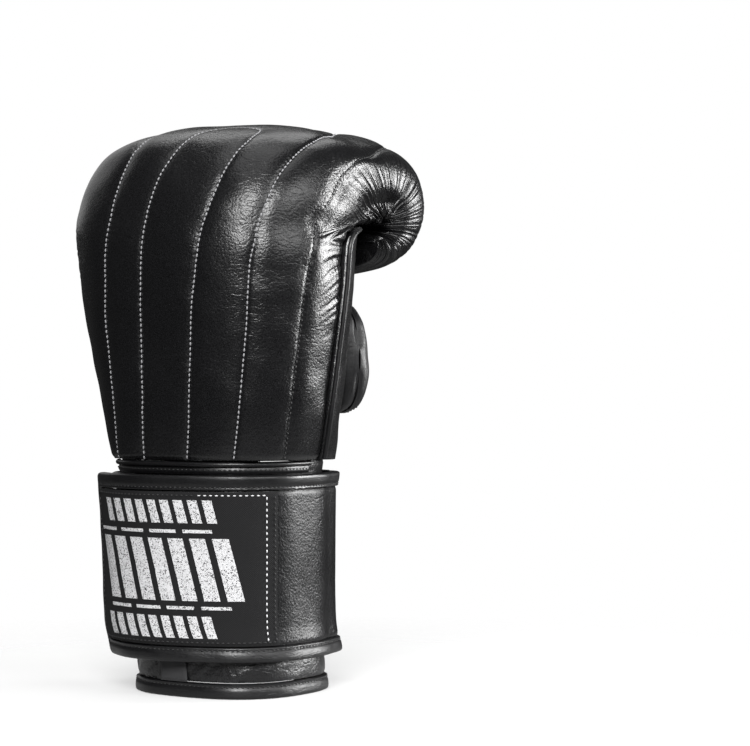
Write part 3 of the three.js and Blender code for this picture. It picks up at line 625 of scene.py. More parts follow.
# Rows of the print, bottom to top: pitch of its slanted bars in metres, the bar's share of it, low
# and high edge on the patch, and the numbers of the first bar and the one after the last.
PRINT_ROWS = [
    (0.0062, 0.66, 0.0035, 0.0135, 4, 13),
    (0.0155, 0.80, 0.0165, 0.0180, 1, 5),
    (0.0096, 0.70, 0.0205, 0.0490, 1, 8),
    (0.0155, 0.80, 0.0515, 0.0530, 1, 5),
    (0.0062, 0.66, 0.0560, 0.0665, 2, 11),
]


def patch_material(name, tone):
    """Woven cloth with a flecked silver print: rows of slanted bars and dashes."""
    n = Nodes(name)
    uv = n.texture_place("UV")
    split = n.add("ShaderNodeSeparateXYZ", {0: uv})
    u, v = split.outputs[0], split.outputs[1]
    warp, weft = (n.math("SINE", n.times(run, 2 * math.pi / WEAVE_PITCH)) for run in (u, v))
    weave = n.times(warp, weft)
    fleck = n.add("ShaderNodeTexVoronoi", {"Vector": uv, "Scale": 3000.0},
                  feature="F1").outputs["Color"]
    fleck = n.add("ShaderNodeSeparateColor", {0: fleck}).outputs[0]
    wear = n.noise(uv, 260, 3, 0.6)

    def inside(value, low, high):
        return n.times(n.math("GREATER_THAN", value, low), n.math("LESS_THAN", value, high))

    slanted = n.plus(u, n.times(v, -0.22))
    printed = 0.0
    for pitch, share, low, high, first, after in PRINT_ROWS:
        bar = n.times(slanted, 1 / pitch)
        row = n.times(n.math("LESS_THAN", n.math("FRACT", bar), share), inside(v, low, high))
        row = n.times(row, inside(bar, first, after))
        printed = n.plus(row, printed, clamp=True)
    kept = n.math("GREATER_THAN", n.plus(fleck, n.times(wear, 0.5)), 0.4)
    printed = n.times(printed, kept)
    cloth = n.mix(n.ramp(weave, -1, 1), brighter(tone.cloth, 0.75), brighter(tone.cloth, 1.5))
    silver = n.mix(n.ramp(fleck, 0, 1), brighter(tone.print_colour, 0.72),
                   brighter(tone.print_colour, 1.15))
    n.put(base_color=n.mix(printed, cloth, silver))
    n.shader.inputs["Specular IOR Level"].default_value = CLOTH_SPECULAR
    n.put(roughness=n.ramp(printed, 0, 1, 0.82, 0.5))
    n.put(normal=n.bump(n.plus(weave, n.times(printed, 0.6)), 0.00012, 0.6))
    return n.material


def tag_material(name, tone):
    """Fine woven label in rows, left blank."""
    n = Nodes(name)
    uv = n.texture_place("UV")
    split = n.add("ShaderNodeSeparateXYZ", {0: uv})
    rows = n.math("SINE", n.times(split.outputs[1], 2 * math.pi / TAG_PITCH))
    n.put(base_color=n.mix(n.ramp(rows, -1, 1), brighter(tone.cloth, 1.6), brighter(tone.cloth, 4)))
    n.put(roughness=0.75, normal=n.bump(rows, 0.00008, 0.5))
    return n.material


# Stitches.

STITCH_RINGS = 5
STITCH_SIDES = 6


def stitches(name, rows, pitch, length, thick, finish, lift):
    """One piece with every stitch of several rows. A row is its points and their normals."""
    bpy.ops.object.select_all(action="DESELECT")
    bpy.ops.mesh.primitive_uv_sphere_add(segments=STITCH_SIDES, ring_count=STITCH_RINGS, radius=0.5)
    pattern = bpy.context.active_object
    shape = np.array([v.co[:] for v in pattern.data.vertices])
    shape[:, :2] *= (1 - 0.35 * (2 * np.abs(shape[:, 2:3])) ** 4)
    # Blender gives the faces of a sphere in another order each run.
    pattern_faces = sorted(list(p.vertices) for p in pattern.data.polygons)
    bpy.data.objects.remove(pattern, do_unlink=True)
    points, faces = [], []
    for line, normals in rows:
        along = lengths_along(line)
        count = int(along[-1] // pitch)
        if count < 1:
            continue
        for k in range(count):
            centre = (k + 0.5) * along[-1] / count
            ends = [centre - length / 2, centre, centre + length / 2]
            here = np.stack([np.interp(ends, along, line[:, c]) for c in range(3)], 1)
            normal = np.array([np.interp(centre, along, normals[:, c]) for c in range(3)])
            tangent = here[2] - here[0]
            tangent /= np.linalg.norm(tangent) + 1e-9
            normal -= tangent * (normal @ tangent)
            normal /= np.linalg.norm(normal) + 1e-9
            side = np.cross(tangent, normal)
            sink = -0.22 * thick * (2 * shape[:, 2:3]) ** 2
            placed = (here[1] + normal * lift + shape[:, :1] * thick * 1.15 * side
                      + (shape[:, 1:2] * thick + sink) * normal + shape[:, 2:3] * length * tangent)
            faces += [[v + len(points) * len(shape) for v in face] for face in pattern_faces]
            points.append(placed)
    made = make_object(name, np.concatenate(points), faces)
    finish_piece(made, finish)


STITCHING = {}


# The fist.


def line_points(line):
    """Places and angles along a quilting line, evenly spaced on the fist."""
    line = np.array(line, float)
    at = np.linspace(0, len(line) - 1, 40 * len(line))
    places, angles = between(line[:, 0], at), between(line[:, 1], at)
    length = lengths_along(fist_point(places, angles))
    steps = np.arange(0, length[-1], QUILT_STEP)
    return np.interp(steps, length, places), np.interp(steps, length, angles)


def tree_of(points):
    tree = KDTree(len(points))
    for k, point in enumerate(points):
        tree.insert(point, k)
    tree.balance()
    return tree


def wall_piece(name, node, finish, base, normal, height, inner, fill=None):
    """A leather wall from its base grid, raised by heights, to its inner grid."""
    outer = base + normal * height[..., None]
    finish_piece(shell(name, outer, inner), finish, node, fill=fill)
    return outer


def coarse(*grids):
    return [grid[::INNER_STEP, ::INNER_STEP] for grid in grids]


def finger_gathers(at, from_seam):
    """Gathers on the little finger's side: they fan out from the crease."""
    below = (CREASE_ROW - at) * 31
    slope = np.interp(below, [0, 12, 32], [0.8, 0.05, -0.5])
    roll = (at - CREASE_ROW) * 1.75 - 0.13 * from_seam * (1 - smoothstep(4, 5.2, at))
    phase = np.where(at < CREASE_ROW, -(below + slope * from_seam) / 6.2, roll)
    deep = lane(phase, 3) + 0.35 * lane(phase * 0.5 + 0.2, 4)
    fine = lane(phase * 2.1 + 0.3, 8)
    along = smoothstep(2.0, 3.5, at) * (0.5 + 0.5 * smoothstep(3.4, 4.3, at))
    reach = 24 + 16 * smoothstep(3.6, 6, at)
    fade = (1 - smoothstep(4, reach, from_seam)) ** 1.1
    far = bell(from_seam - reach, 12.0)
    return along * ((0.85 * fade + 0.06 * far) * deep + (0.5 * fade + 0.16 * far) * fine)


def drawn_out(points, at, degrees):
    """The leather by the crease, drawn out sideways so that it closes the side of the curl."""
    signed = np.mod(degrees + 180, 360) - 180
    share = smoothstep(8, 42, -signed) * (1 - smoothstep(80, 106, -signed))
    share *= smoothstep(3.85, 4.5, at) * (1 - smoothstep(9.5, 12, at))
    sunk = fist_point(at, 0 * at)[..., 0] - points[..., 0]
    points = points.copy()
    points[..., 0] += 0.92 * share * np.maximum(0, sunk - 2.5)
    return points


def thumb_gathers(at, from_edge):
    """Gathers on the thumb's side, round the top of the gusset and down the roll."""
    phase = (at - CREASE_ROW) * np.where(at < CREASE_ROW, 4.2, 3.3)
    deep = lane(phase, 5, 0.22)
    along = smoothstep(2.9, 4.2, at) * (1 - 0.55 * smoothstep(7.0, 8.6, at))
    along *= 1 - smoothstep(11.5, 14, at)
    reach = 14 + 18 * smoothstep(3.8, 5.6, at)
    fade = (1 - smoothstep(2, reach, from_edge)) ** 1.1
    return along * fade * deep


class GLOVE_OT_fist_pad(bpy.types.Operator):
    """Padded back of the fist, with its quilting and its gathers"""

    bl_idname = "glove.fist_pad"
    bl_label = "Fist pad"

    def execute(self, context):
        size = sizes()
        quilt, gather, pitch = (
            value * PER_METRE for value in (size.quilt_depth, size.gather_depth, size.stitch_pitch))
        rows, columns = FIST_GRID
        at, degrees = fist_grid(0, LAST_ROW, rows, seam_angle, edge_angle, columns)
        base = fist_point(at, degrees)
        from_seam, from_edge = edge_distances(base)
        from_sides = np.minimum(from_seam, from_edge)
        near_crease = bell(at - CREASE_ROW, 1.1)
        base = eased(drawn_out(base, at, degrees), near_crease * smoothstep(2, 42, from_sides))
        normal = normals_of(base, fist_point(at, degrees, 6, 6, 3))
        height = 0.3 * ripples(base, 46, 11) + 0.1 * ripples(base, 17, 12)

        lines = [line_points(line) for line in (INNER_LINE, MIDDLE_LINE, OUTER_LINE)]
        along = np.concatenate([np.arange(len(a)) * QUILT_STEP for a, _ in lines])
        tree = tree_of(np.concatenate([fist_point(a, d) for a, d in lines]))
        found = [tree.find(point) for point in base.reshape(-1, 3)]
        off = np.array([hit[2] for hit in found]).reshape(at.shape)
        where = along[[hit[1] for hit in found]].reshape(at.shape)
        flat = smoothstep(2.4, 3.8, at) * (1 - smoothstep(10, 22, degrees))
        height -= quilt * ((0.62 - 0.3 * flat) * bell(off, 1.1)
                           + (0.5 - 0.42 * flat) * bell(off, 4.6))
        height += 0.14 * np.cos(2 * math.pi * where / pitch) * bell(off, 1.7)
        height += 0.05 * ripples(base, 7, 13) * bell(off, 6.0)

        height -= gather * (1.3 + 0.35 * smoothstep(4, 4.6, at)) * finger_gathers(at, from_seam)
        height -= gather * 1.45 * thumb_gathers(at, from_edge)
        valley = bell(off - 4.5, 2.6) * smoothstep(3.0, 4.2, at) * (1 - smoothstep(5.6, 7.0, at))
        height -= 0.45 * valley * (1 - smoothstep(4, 12, degrees))
        for rim in (from_seam, from_edge):
            height -= 1.1 * bell(rim, 1.5) + 0.5 * bell(rim, 4.5)
        height -= 1.0 * bell(np.minimum(at, LAST_ROW - at) * 28, 1.8)

        inner_at, inner_degrees, thick = coarse(at, degrees, from_sides)
        full = smoothstep(4, 30, thick)
        room = (fist_row(BACK, inner_at) - fist_row(MIDDLE, inner_at)) * 0.94 * KNUCKLE_REACH
        pad = np.minimum(fist_row(PAD, inner_at) * PAD_THICK, room)
        wall = LEATHER + (fist_row(WALL, inner_at) * SIDE_WALL - LEATHER) * full
        inner = fist_point(inner_at, inner_degrees, wall, LEATHER + (pad - LEATHER) * full, wall)
        outer = wall_piece("fist_padding", "fist_pad", "smooth leather", base, normal, height,
                           inner, fill=0.9)

        flat, flat_normals = outer.reshape(-1, 3), normal.reshape(-1, 3)
        surface = tree_of(flat)
        STITCHING["quilting"] = []
        for a, d in lines:
            points = fist_point(a, d)
            near = [surface.find_n(point, 4) for point in points]
            lie = np.array([np.mean([flat[hit[1]] for hit in hits], 0) for hits in near])
            turned = np.array([flat_normals[hits[0][1]] for hits in near])
            depth = ((lie - points) * turned).sum(-1, keepdims=True)
            STITCHING["quilting"].append((points + turned * depth, turned))
        return {"FINISHED"}


class GLOVE_OT_palm_panel(bpy.types.Operator):
    """Thin leather over the palm and under the fingers"""

    bl_idname = "glove.palm_panel"
    bl_label = "Palm panel"

    def execute(self, context):
        rows, columns = PALM_GRID
        at, degrees = fist_grid(
            0, LAST_ROW, rows, palm_angle, lambda a: seam_angle(a) + 360, columns)
        base = drawn_out(fist_point(at, degrees), at, degrees)
        normal = normals_of(base, fist_point(at, degrees, 2, 2, 2))
        first, last = edge_distances(base)
        across = base[..., 0]
        folds = (np.sin(across / 4.1 + 1.3 * ripples(base, 40, 21))
                 + 0.6 * np.sin(across / 2.3 + ripples(base, 25, 22)))
        height = 0.6 * (1 - smoothstep(0.1, 1.7, at)) * folds
        height = height + 0.3 * ripples(base, 22, 23) + 0.05 * ripples(base, 8, 24)
        height *= smoothstep(0, 6, np.minimum(first, last))
        height *= 0.3 + 0.7 * (1 - smoothstep(3.4, 4.2, at))
        for rim in (first, last):
            height -= 0.7 * bell(rim, 1.3)
        curled = smoothstep(3.9, 4.5, at) * (1 - smoothstep(10, 12, at))
        height -= curled * (sizes().gather_depth * PER_METRE) * finger_gathers(at, last)
        wall_piece("palm_leather", "palm_panel", "smooth leather", base, normal, height,
                   fist_point(*coarse(at, degrees), LEATHER, LEATHER, LEATHER))
        return {"FINISHED"}


class GLOVE_OT_gussets(bpy.types.Operator):
    """The two panels by the index finger, with puckered seams"""

    bl_idname = "glove.gussets"
    bl_label = "Index gussets"

    def execute(self, context):
        panels = [
            ("gusset_lower_leather", "index_gusset_lower", 0, CREASE_ROW - 0.012, 141),
            ("gusset_upper_leather", "index_gusset_upper", CREASE_ROW + 0.012, CREASE_ROW + 3, 81),
        ]
        for name, node, start, end, rows in panels:
            at, degrees = fist_grid(start, end, rows, edge_angle, palm_angle, 61)
            base = fist_point(at, degrees)
            normal = normals_of(base, fist_point(at, degrees, 2, 2, 2))
            first, last = edge_distances(base)
            below = lengths_along(np.swapaxes(base, 0, 1)).T
            cross = below[-1:] - below if start == 0 else below
            seam = np.minimum(np.minimum(first, last), cross)
            height = 0.25 * ripples(base, 21, 33) + 1.1 * smoothstep(0, 9, seam) - 0.6
            height -= (0.75 * bell(cross, 3.0) * lane(base[..., 1] / 3.4 + base[..., 0] / 5.0, 31)
                       + 0.25 * bell(first, 3.0) * lane(base[..., 2] / 4.2, 32))
            outer = wall_piece(name, node, "soft leather", base, normal, height,
                               fist_point(*coarse(at, degrees), LEATHER, LEATHER, LEATHER))
            if start == 0:
                STITCHING["gusset_cross"] = (outer[-3], normal[-3])
                STITCHING["gusset_edge"] = (outer[20:-4, 4], normal[20:-4, 4])
            else:
                STITCHING["gusset_arch"] = (outer[4:-6, 5], normal[4:-6, 5])
        return {"FINISHED"}


# The thumb.


def thumb_point(at, degrees, depth=0.0):
    """Points of the thumb at places among its rows and angles, moved in by a depth."""
    at, degrees = np.broadcast_arrays(np.asarray(at, float), np.asarray(degrees, float))
    across, out, up, heading, tall, thick = (between(THUMB_ROWS[:, k], at) for k in range(6))
    heading = np.radians(heading)
    half_tall, half_thick = tall * THUMB_HEIGHT / 2, thick * THUMB_THICK / 2
    sideways, upward = rounded(degrees, THUMB_SQUARE)
    sideways = sideways * half_thick * (1 - np.minimum(0.9, depth / half_thick))
    x = across * FIST_SIDE - np.sin(heading) * sideways
    y = out * THUMB_REACH + np.cos(heading) * sideways
    z = up * CREASE_HEIGHT + upward * (half_tall - np.minimum(depth, 0.9 * half_thick))
    return np.stack([x, y, z], -1) + RIM_MIDDLE


class GLOVE_OT_thumb(bpy.types.Operator):
    """The thumb: padded outer half, thin facing, and the seam round them"""

    bl_idname = "glove.thumb"
    bl_label = "Thumb"

    def execute(self, context):
        rows, columns = THUMB_GRID
        ats = even(lambda at: thumb_point(at, 0), 0, len(THUMB_ROWS) - 1, rows)
        halves = [
            ("thumb_padding", "thumb_pad", -87, 87, THUMB_PAD, 0.85),
            ("thumb_facing_leather", "thumb_facing", 93, 267, LEATHER, None),
        ]
        for name, node, low, high, depth, fill in halves:
            degrees = np.stack([
                even(lambda v: thumb_point(at, v), low, high, columns, 120) for at in ats])
            at = np.repeat(ats[:, None], columns, 1)
            base = thumb_point(at, degrees)
            normal = normals_of(base, thumb_point(at, degrees, 0.5))
            seam = np.minimum(*edge_distances(base))
            inward = smoothstep(0, 2.2, at)
            height = inward * (0.4 * ripples(base, 30, 41) + 0.12 * ripples(base, 9, 42))
            pucker = lane(base[..., 0] / 5.5 + base[..., 1] / 5.5, 43)
            height -= inward * (0.8 * bell(seam, 1.6) + 0.35 * bell(seam, 5) * (0.5 + pucker))
            if fill is not None:
                root = 1 - smoothstep(1.6, 3.6, at)
                height -= root * inward * 0.8 * lane(base[..., 2] / 6.0, 44)
            outer = wall_piece(name, node, "soft leather", base, normal, height,
                               thumb_point(*coarse(at, degrees), depth), fill)
            if fill is not None:
                STITCHING["thumb_edge"] = [(outer[30:-8, k], normal[30:-8, k]) for k in (5, -6)]
                STITCHING["thumb_root"] = [(outer[k, 8:-8], normal[k, 8:-8]) for k in (17, 22)]
        return {"FINISHED"}


# The cuff.


def cuff_section(z):
    heights = CUFF_ROWS[:, 0] * CUFF_HEIGHT
    at = np.interp(z, heights, np.arange(len(heights)))
    width, depth, shift = (between(CUFF_ROWS[:, k], at) for k in (1, 2, 3))
    return width * CUFF_HALF_WIDTH, depth * CUFF_HALF_DEPTH, shift * CUFF_HALF_WIDTH


def cuff_outline(z, degrees):
    half, deep, shift = cuff_section(z)
    across, inward = rounded(degrees, CUFF_SQUARE)
    return np.stack([shift + across * half, -inward * deep], -1)


CUFF_DEGREES = np.linspace(0, 360, 721)
CUFF_LENGTHS = lengths_along(cuff_outline(CUFF_HEIGHT / 2, CUFF_DEGREES))
GIRTH = CUFF_LENGTHS[-1]


def cuff_point(turns, z, off):
    """Points at turns round the cuff and heights, standing off the sleeve's outer face."""
    turns, z, off = np.broadcast_arrays(*(np.asarray(v, float) for v in (turns, z, off)))
    whole = np.floor(turns)
    degrees = 360 * whole + np.interp((turns - whole) * GIRTH, CUFF_LENGTHS, CUFF_DEGREES)
    here, ahead, behind = (cuff_outline(z, degrees + d) for d in (0, 1, -1))
    normal = np.stack([behind[..., 1] - ahead[..., 1], ahead[..., 0] - behind[..., 0]], -1)
    flat = here + unit(normal) * off[..., None]
    return np.concatenate([flat, z[..., None]], -1) + RIM_MIDDLE


def level(value):
    return lambda turns: np.full_like(turns, value)


def lift_of(table):
    turns, lifts = np.array(table).T

    def lift(at):
        place = np.interp(at, turns, np.arange(len(turns)))
        low = np.minimum(np.floor(place).astype(int), len(turns) - 2)
        part = smoothstep(0, 1, place - low)
        return (lifts[low] + (lifts[low + 1] - lifts[low]) * part) * BINDING_THICK

    return lift


strap_lift = lift_of(STRAP_LIFTS)
panel_lift = lift_of(PANEL_LIFTS)


def corner_rise(distance, radius):
    near = np.clip(radius - np.asarray(distance, float), 0, radius)
    return radius - np.sqrt(np.maximum(0, radius ** 2 - near ** 2))


def cuff_sheet(name, ends, low_at, high_at, off_at, thick, grid, relief=None, with_uv=False):
    """A wall round the cuff, made from a plane grid that is wrapped and given a thickness."""
    (start, end), (columns, rows) = ends, grid
    turns = np.linspace(start, end, columns)
    low, high = low_at(turns), high_at(turns)
    z = low[:, None] + (high - low)[:, None] * np.linspace(0, 1, rows)[None]
    t = np.repeat(turns[:, None], rows, 1)
    base = cuff_point(t, z, off_at(t) + thick)
    inner = cuff_point(t, z, off_at(t))
    normal = normals_of(base, inner)
    rim = np.minimum(np.minimum(z - low[:, None], high[:, None] - z),
                     np.minimum(t - start, end - t) * GIRTH)
    height = -0.5 * bell(rim, 0.8)
    if relief is not None:
        height = height + relief(t, z, base)
    outer = base + normal * height[..., None]
    uvs = np.stack([(t - start) * GIRTH, z - z.min()], -1) * MM if with_uv else None
    return shell(name, outer, inner, uvs), outer, normal


BOUND_PROFILE = [
    (0.0, 0.5), (0.01, 0.72), (0.06, 0.9), (0.14, 0.98), (0.3, 1.0), (0.5, 0.99), (0.66, 0.97),
    (0.74, 0.9), (0.8, 0.86), (0.86, 0.9), (0.94, 0.92), (0.99, 0.82), (1.0, 0.6),
    (1.0, 0.2), (0.9, 0.03), (0.5, 0.0), (0.14, 0.02), (0.04, 0.12), (0.0, 0.3),
]
SEWN_SHARE = 0.8


def bound_edge(name, node, path, width, thick, off_at, seed):
    """A rolled edge along a path of lengths, heights and inward directions; gives its sewn line."""
    length, z, in_length, in_z = np.array(path).T
    inward, deep = np.array(BOUND_PROFILE).T[:, None]
    run = np.concatenate([[0], np.cumsum(np.hypot(np.diff(length), np.diff(z)))])[:, None]
    turns = (length[:, None] + in_length[:, None] * inward * width) / GIRTH
    heights = z[:, None] + in_z[:, None] * inward * width
    draw = np.random.default_rng(seed)
    waves = sum(np.sin(run * (2 * math.pi / draw.uniform(9, 30)) + draw.uniform(0, 6))
                for _ in range(4)) / 4
    pucker = 0.5 * np.cos(2 * math.pi * run / (sizes().stitch_pitch * PER_METRE))
    pucker = pucker * bell(inward - SEWN_SHARE, 0.1)
    swell = 1 + (0.035 * waves + 0.02 * pucker) * (deep > 0.5)
    rings = cuff_point(turns, heights, off_at(turns) + deep * thick * swell)
    finish_piece(tube_of_rings(name, rings), "binding leather", node)
    sewn_turns = (length + in_length * SEWN_SHARE * width) / GIRTH
    sewn_z = z + in_z * SEWN_SHARE * width
    return on_cuff(sewn_turns, sewn_z, off_at(sewn_turns), 0.88 * thick, 0)


def on_cuff(turns, z, off, above, below):
    """A row of points above a surface round the cuff, with the directions away from it."""
    points = cuff_point(turns, z, off + above)
    return points, unit(points - cuff_point(turns, z, off - below))


def rounded_path(corners):
    """Path through corners (length, height, radius), with the bound side on its left."""
    path = []
    points = np.array([corner[:2] for corner in corners], float)
    start = points[0]
    for i in range(1, len(points)):
        radius = corners[i][2]
        direction = unit(points[i] - points[i - 1])
        end = points[i] - direction * radius
        count = max(1, round(np.linalg.norm(end - start) / PATH_STEP))
        for k in range(1 if path else 0, count + 1):
            path.append((*(start + (end - start) * k / count), -direction[1], direction[0]))
        if i + 1 == len(points):
            break
        centre = end + np.array([-direction[1], direction[0]]) * radius
        bends = max(6, round(radius * 1.2))
        for k in range(1, bends + 1):
            across, along = math.cos(math.pi / 2 * k / bends), math.sin(math.pi / 2 * k / bends)
            turn = np.array([[across, -along], [along, across]])
            heading = turn @ direction
            path.append((*(centre + turn @ (end - centre)), -heading[1], heading[0]))
        start = points[i] + unit(points[i + 1] - points[i]) * radius
    return path


FLAP_START = SLIT_TURN * GIRTH + SLIT_GAP / 2
FLAP_END = SLIT_TURN * GIRTH + GIRTH - SLIT_GAP / 2
BODY_LOW = STRAP_LOW + BINDING_WIDTH + GAP
BODY_HIGH = STRAP_HIGH - BINDING_WIDTH - GAP
BODY_CORNER = STRAP_CORNER - BINDING_WIDTH - GAP


class GLOVE_OT_sleeve(bpy.types.Operator):
    """Leather sleeve of the cuff, with its creases"""

    bl_idname = "glove.sleeve"
    bl_label = "Wrist sleeve"

    def execute(self, context):
        edge = RIM_WIDTH + 2 * GAP
        start, end = FLAP_START + edge, FLAP_END - edge

        def low_at(turns):
            along = turns * GIRTH
            finger = corner_rise(along - start, FINGER_FLAP_RADIUS - edge)
            return edge + finger + corner_rise(end - along, THUMB_FLAP_RADIUS - edge)

        def creases(turns, z, base):
            slant = lane((z + turns * 210) / 7.5 + 0.4 * ripples(base, 30, 51), 52)
            folds = slant * (1 - smoothstep(6, 24, z - 4)) * smoothstep(0.9, 1.15, turns)
            return 0.2 * ripples(base, 14, 53) * (1 - smoothstep(94, 104, z)) - 0.95 * folds

        made, _, _ = cuff_sheet(
            "wrist_sleeve_leather", (start / GIRTH, end / GIRTH), low_at, level(CUFF_HEIGHT),
            level(-LEATHER), LEATHER, (241, 61), creases)
        finish_piece(made, "smooth leather", "wrist_sleeve")
        return {"FINISHED"}


class GLOVE_OT_wrist_rim(bpy.types.Operator):
    """Bound edge round the bottom of the sleeve and up both sides of its slit"""

    bl_idname = "glove.wrist_rim"
    bl_label = "Wrist rim"

    def execute(self, context):
        path = rounded_path([
            (FLAP_START, SLIT_TOP, 0), (FLAP_START, 0, FINGER_FLAP_RADIUS),
            (FLAP_END, 0, THUMB_FLAP_RADIUS), (FLAP_END, SLIT_TOP, 0)])
        STITCHING["rim"] = bound_edge("wrist_rim_leather", "wrist_rim", path, RIM_WIDTH, RIM_THICK,
                                      level(-(RIM_THICK + LEATHER) / 2), 61)
        return {"FINISHED"}


class GLOVE_OT_cuff_panel(bpy.types.Operator):
    """Panel of the closure round the thumb's side and the palm, with its two bindings"""

    bl_idname = "glove.cuff_panel"
    bl_label = "Cuff panel"

    def execute(self, context):
        start, end = PANEL_LIFTS[0][0], PANEL_LIFTS[-1][0]
        made, _, _ = cuff_sheet(
            "cuff_panel_leather", (start, end), level(BODY_LOW), level(BODY_HIGH), panel_lift,
            STRAP_THICK, (181, 81),
            lambda turns, z, base: 0.14 * ripples(base, 26, 71) + 0.03 * ripples(base, 8, 72))
        finish_piece(made, "strap leather", "cuff_panel")
        STITCHING["panel_bindings"] = [
            bound_edge(f"panel_binding_{side}_leather", f"panel_binding_{side}",
                       rounded_path([(turn * GIRTH, z, 0) for turn in ends]), BINDING_WIDTH,
                       BINDING_THICK, lambda turns: panel_lift(turns) - BINDING_SINK, 73)
            for side, z, ends in (("top", STRAP_HIGH, (end, start)),
                                  ("bottom", STRAP_LOW, (start, end)))
        ]
        return {"FINISHED"}


class GLOVE_OT_strap(bpy.types.Operator):
    """Closing strap, its bound edge and the woven patch on it"""

    bl_idname = "glove.strap"
    bl_label = "Strap"

    def execute(self, context):
        start, end = STRAP_LIFTS[0][0], STRAP_LIFTS[-1][0]
        body_end = end - (BINDING_WIDTH + GAP) / GIRTH

        def rise(turns, inset=0.0):
            return corner_rise((body_end - turns) * GIRTH - inset, BODY_CORNER)

        made, _, _ = cuff_sheet(
            "strap_leather", (start, body_end), lambda turns: BODY_LOW + rise(turns),
            lambda turns: BODY_HIGH - rise(turns), strap_lift, STRAP_THICK, (221, 81),
            lambda turns, z, base: 0.09 * ripples(base, 24, 81) + 0.02 * ripples(base, 7, 82))
        finish_piece(made, "strap leather", "strap")

        path = rounded_path([
            (start * GIRTH, STRAP_LOW, 0), (end * GIRTH, STRAP_LOW, STRAP_CORNER),
            (end * GIRTH, STRAP_HIGH, STRAP_CORNER), (start * GIRTH, STRAP_HIGH, 0)])
        STITCHING["strap_binding"] = bound_edge(
            "strap_binding_leather", "strap_binding", path, BINDING_WIDTH, BINDING_THICK,
            lambda turns: strap_lift(turns) - BINDING_SINK, 83)

        patch_end = body_end - GAP / GIRTH
        low, high = BODY_LOW + GAP, BODY_HIGH - GAP
        made, outer, _ = cuff_sheet(
            "patch_cloth", (PATCH_FROM, patch_end), lambda turns: low + rise(turns, GAP),
            lambda turns: high - rise(turns, GAP),
            lambda turns: strap_lift(turns) + STRAP_THICK + GAP, PATCH_THICK, (161, 121),
            lambda turns, z, base: 0.08 * ripples(base, 16, 84), with_uv=True)
        finish_piece(made, "woven patch", "patch")
        middle = lengths_along(outer[:, outer.shape[1] // 2])[-1]

        def row(turns, z):
            turns, z = np.broadcast_arrays(turns, z)
            off = strap_lift(turns) + STRAP_THICK
            return on_cuff(turns, z, off, GAP + PATCH_THICK + 0.1, 1)

        around = np.linspace(PATCH_FROM + PATCH_SEAM / GIRTH, patch_end - PATCH_SEAM / GIRTH, 120)
        upward = np.linspace(low + PATCH_SEAM, high - PATCH_SEAM, 90)
        pale = PATCH_FROM + PALE_ROW / GIRTH
        pale_end = pale + PALE_LENGTH / GIRTH
        STITCHING["patch_pale"] = [
            row(np.linspace(pale, pale_end, 40), upward[-1]), row(pale, upward)]
        STITCHING["patch_dark"] = [
            row(np.linspace(pale_end + 1 / GIRTH, around[-1], 70), upward[-1]),
            row(around, upward[0]), row(around[-1], upward[3:-3]), row(around[0], upward)]
        return {"FINISHED"}


class GLOVE_OT_base_trim(bpy.types.Operator):
    """Narrow band and piping round the back of the fist's base, and the piping up its side"""

    bl_idname = "glove.base_trim"
    bl_label = "Base band and pipings"

    def execute(self, context):
        start, end = FIST_ROWS[0, SEAM] / 360, FIST_ROWS[0, EDGE] / 360
        high = CUFF_HEIGHT - PIPING - GAP
        made, outer, normal = cuff_sheet(
            "base_band_leather", (start, end), level(STRAP_HIGH + GAP), level(high),
            level(2 * GAP), 1.2, (161, 13))
        finish_piece(made, "binding leather", "base_band")
        STITCHING["base_band"] = (outer[2:-2, 8], normal[2:-2, 8])

        turns = np.linspace(start, end, 120)
        round_base = cuff_point(turns, CUFF_HEIGHT - PIPING / 2, PIPING / 2 + GAP)
        at = np.linspace(PIPING_FROM, PIPING_TO, 140)
        seam = seam_angle(at)
        here = fist_point(at, seam)
        beside = fist_point(at, seam + 1) - fist_point(at, seam - 1)
        ahead = (fist_point(np.minimum(at + 0.05, LAST_ROW), seam)
                 - fist_point(np.maximum(at - 0.05, 0), seam))
        away = unit(np.cross(ahead, beside))
        away *= np.sign((away * (here - fist_point(at, seam, 2, 2, 2))).sum(-1).mean())
        piping("base_piping_leather", "base_piping", round_base)
        piping("side_piping_leather", "side_piping", here + away * (PIPING / 2 + PIPING_STAND))
        return {"FINISHED"}


def piping(name, node, line):
    """A round cord through points, made from a curve."""
    curve = bpy.data.curves.new(name, "CURVE")
    curve.dimensions = "3D"
    curve.bevel_depth = PIPING / 2 * MM
    curve.bevel_resolution = 4
    curve.use_fill_caps = True
    spline = curve.splines.new("POLY")
    spline.points.add(len(line) - 1)
    spline.points.foreach_set("co", np.column_stack([line * MM, np.ones(len(line))]).ravel())
    made = bpy.data.objects.new(name, curve)
    bpy.context.collection.objects.link(made)
    select_only(made)
    bpy.ops.object.convert(target="MESH")
    finish_piece(bpy.context.active_object, "binding leather", node)


class GLOVE_OT_size_tag(bpy.types.Operator):
    """Small blank label that hangs from under the strap"""

    bl_idname = "glove.size_tag"
    bl_label = "Size tag"

    def execute(self, context):
        ends = (TAG_TURN - TAG_HALF / GIRTH, TAG_TURN + TAG_HALF / GIRTH)
        low = RIM_WIDTH + GAP
        made, outer, _ = cuff_sheet(
            "size_tag_cloth", ends, level(low), level(low + TAG_LENGTH), level(1.6 * GAP),
            TAG_THICK, (25, 25), with_uv=True)
        finish_piece(made, "woven tag", "size_tag")
        lengths_along(outer[:, 12])[-1] * MM
        return {"FINISHED"}


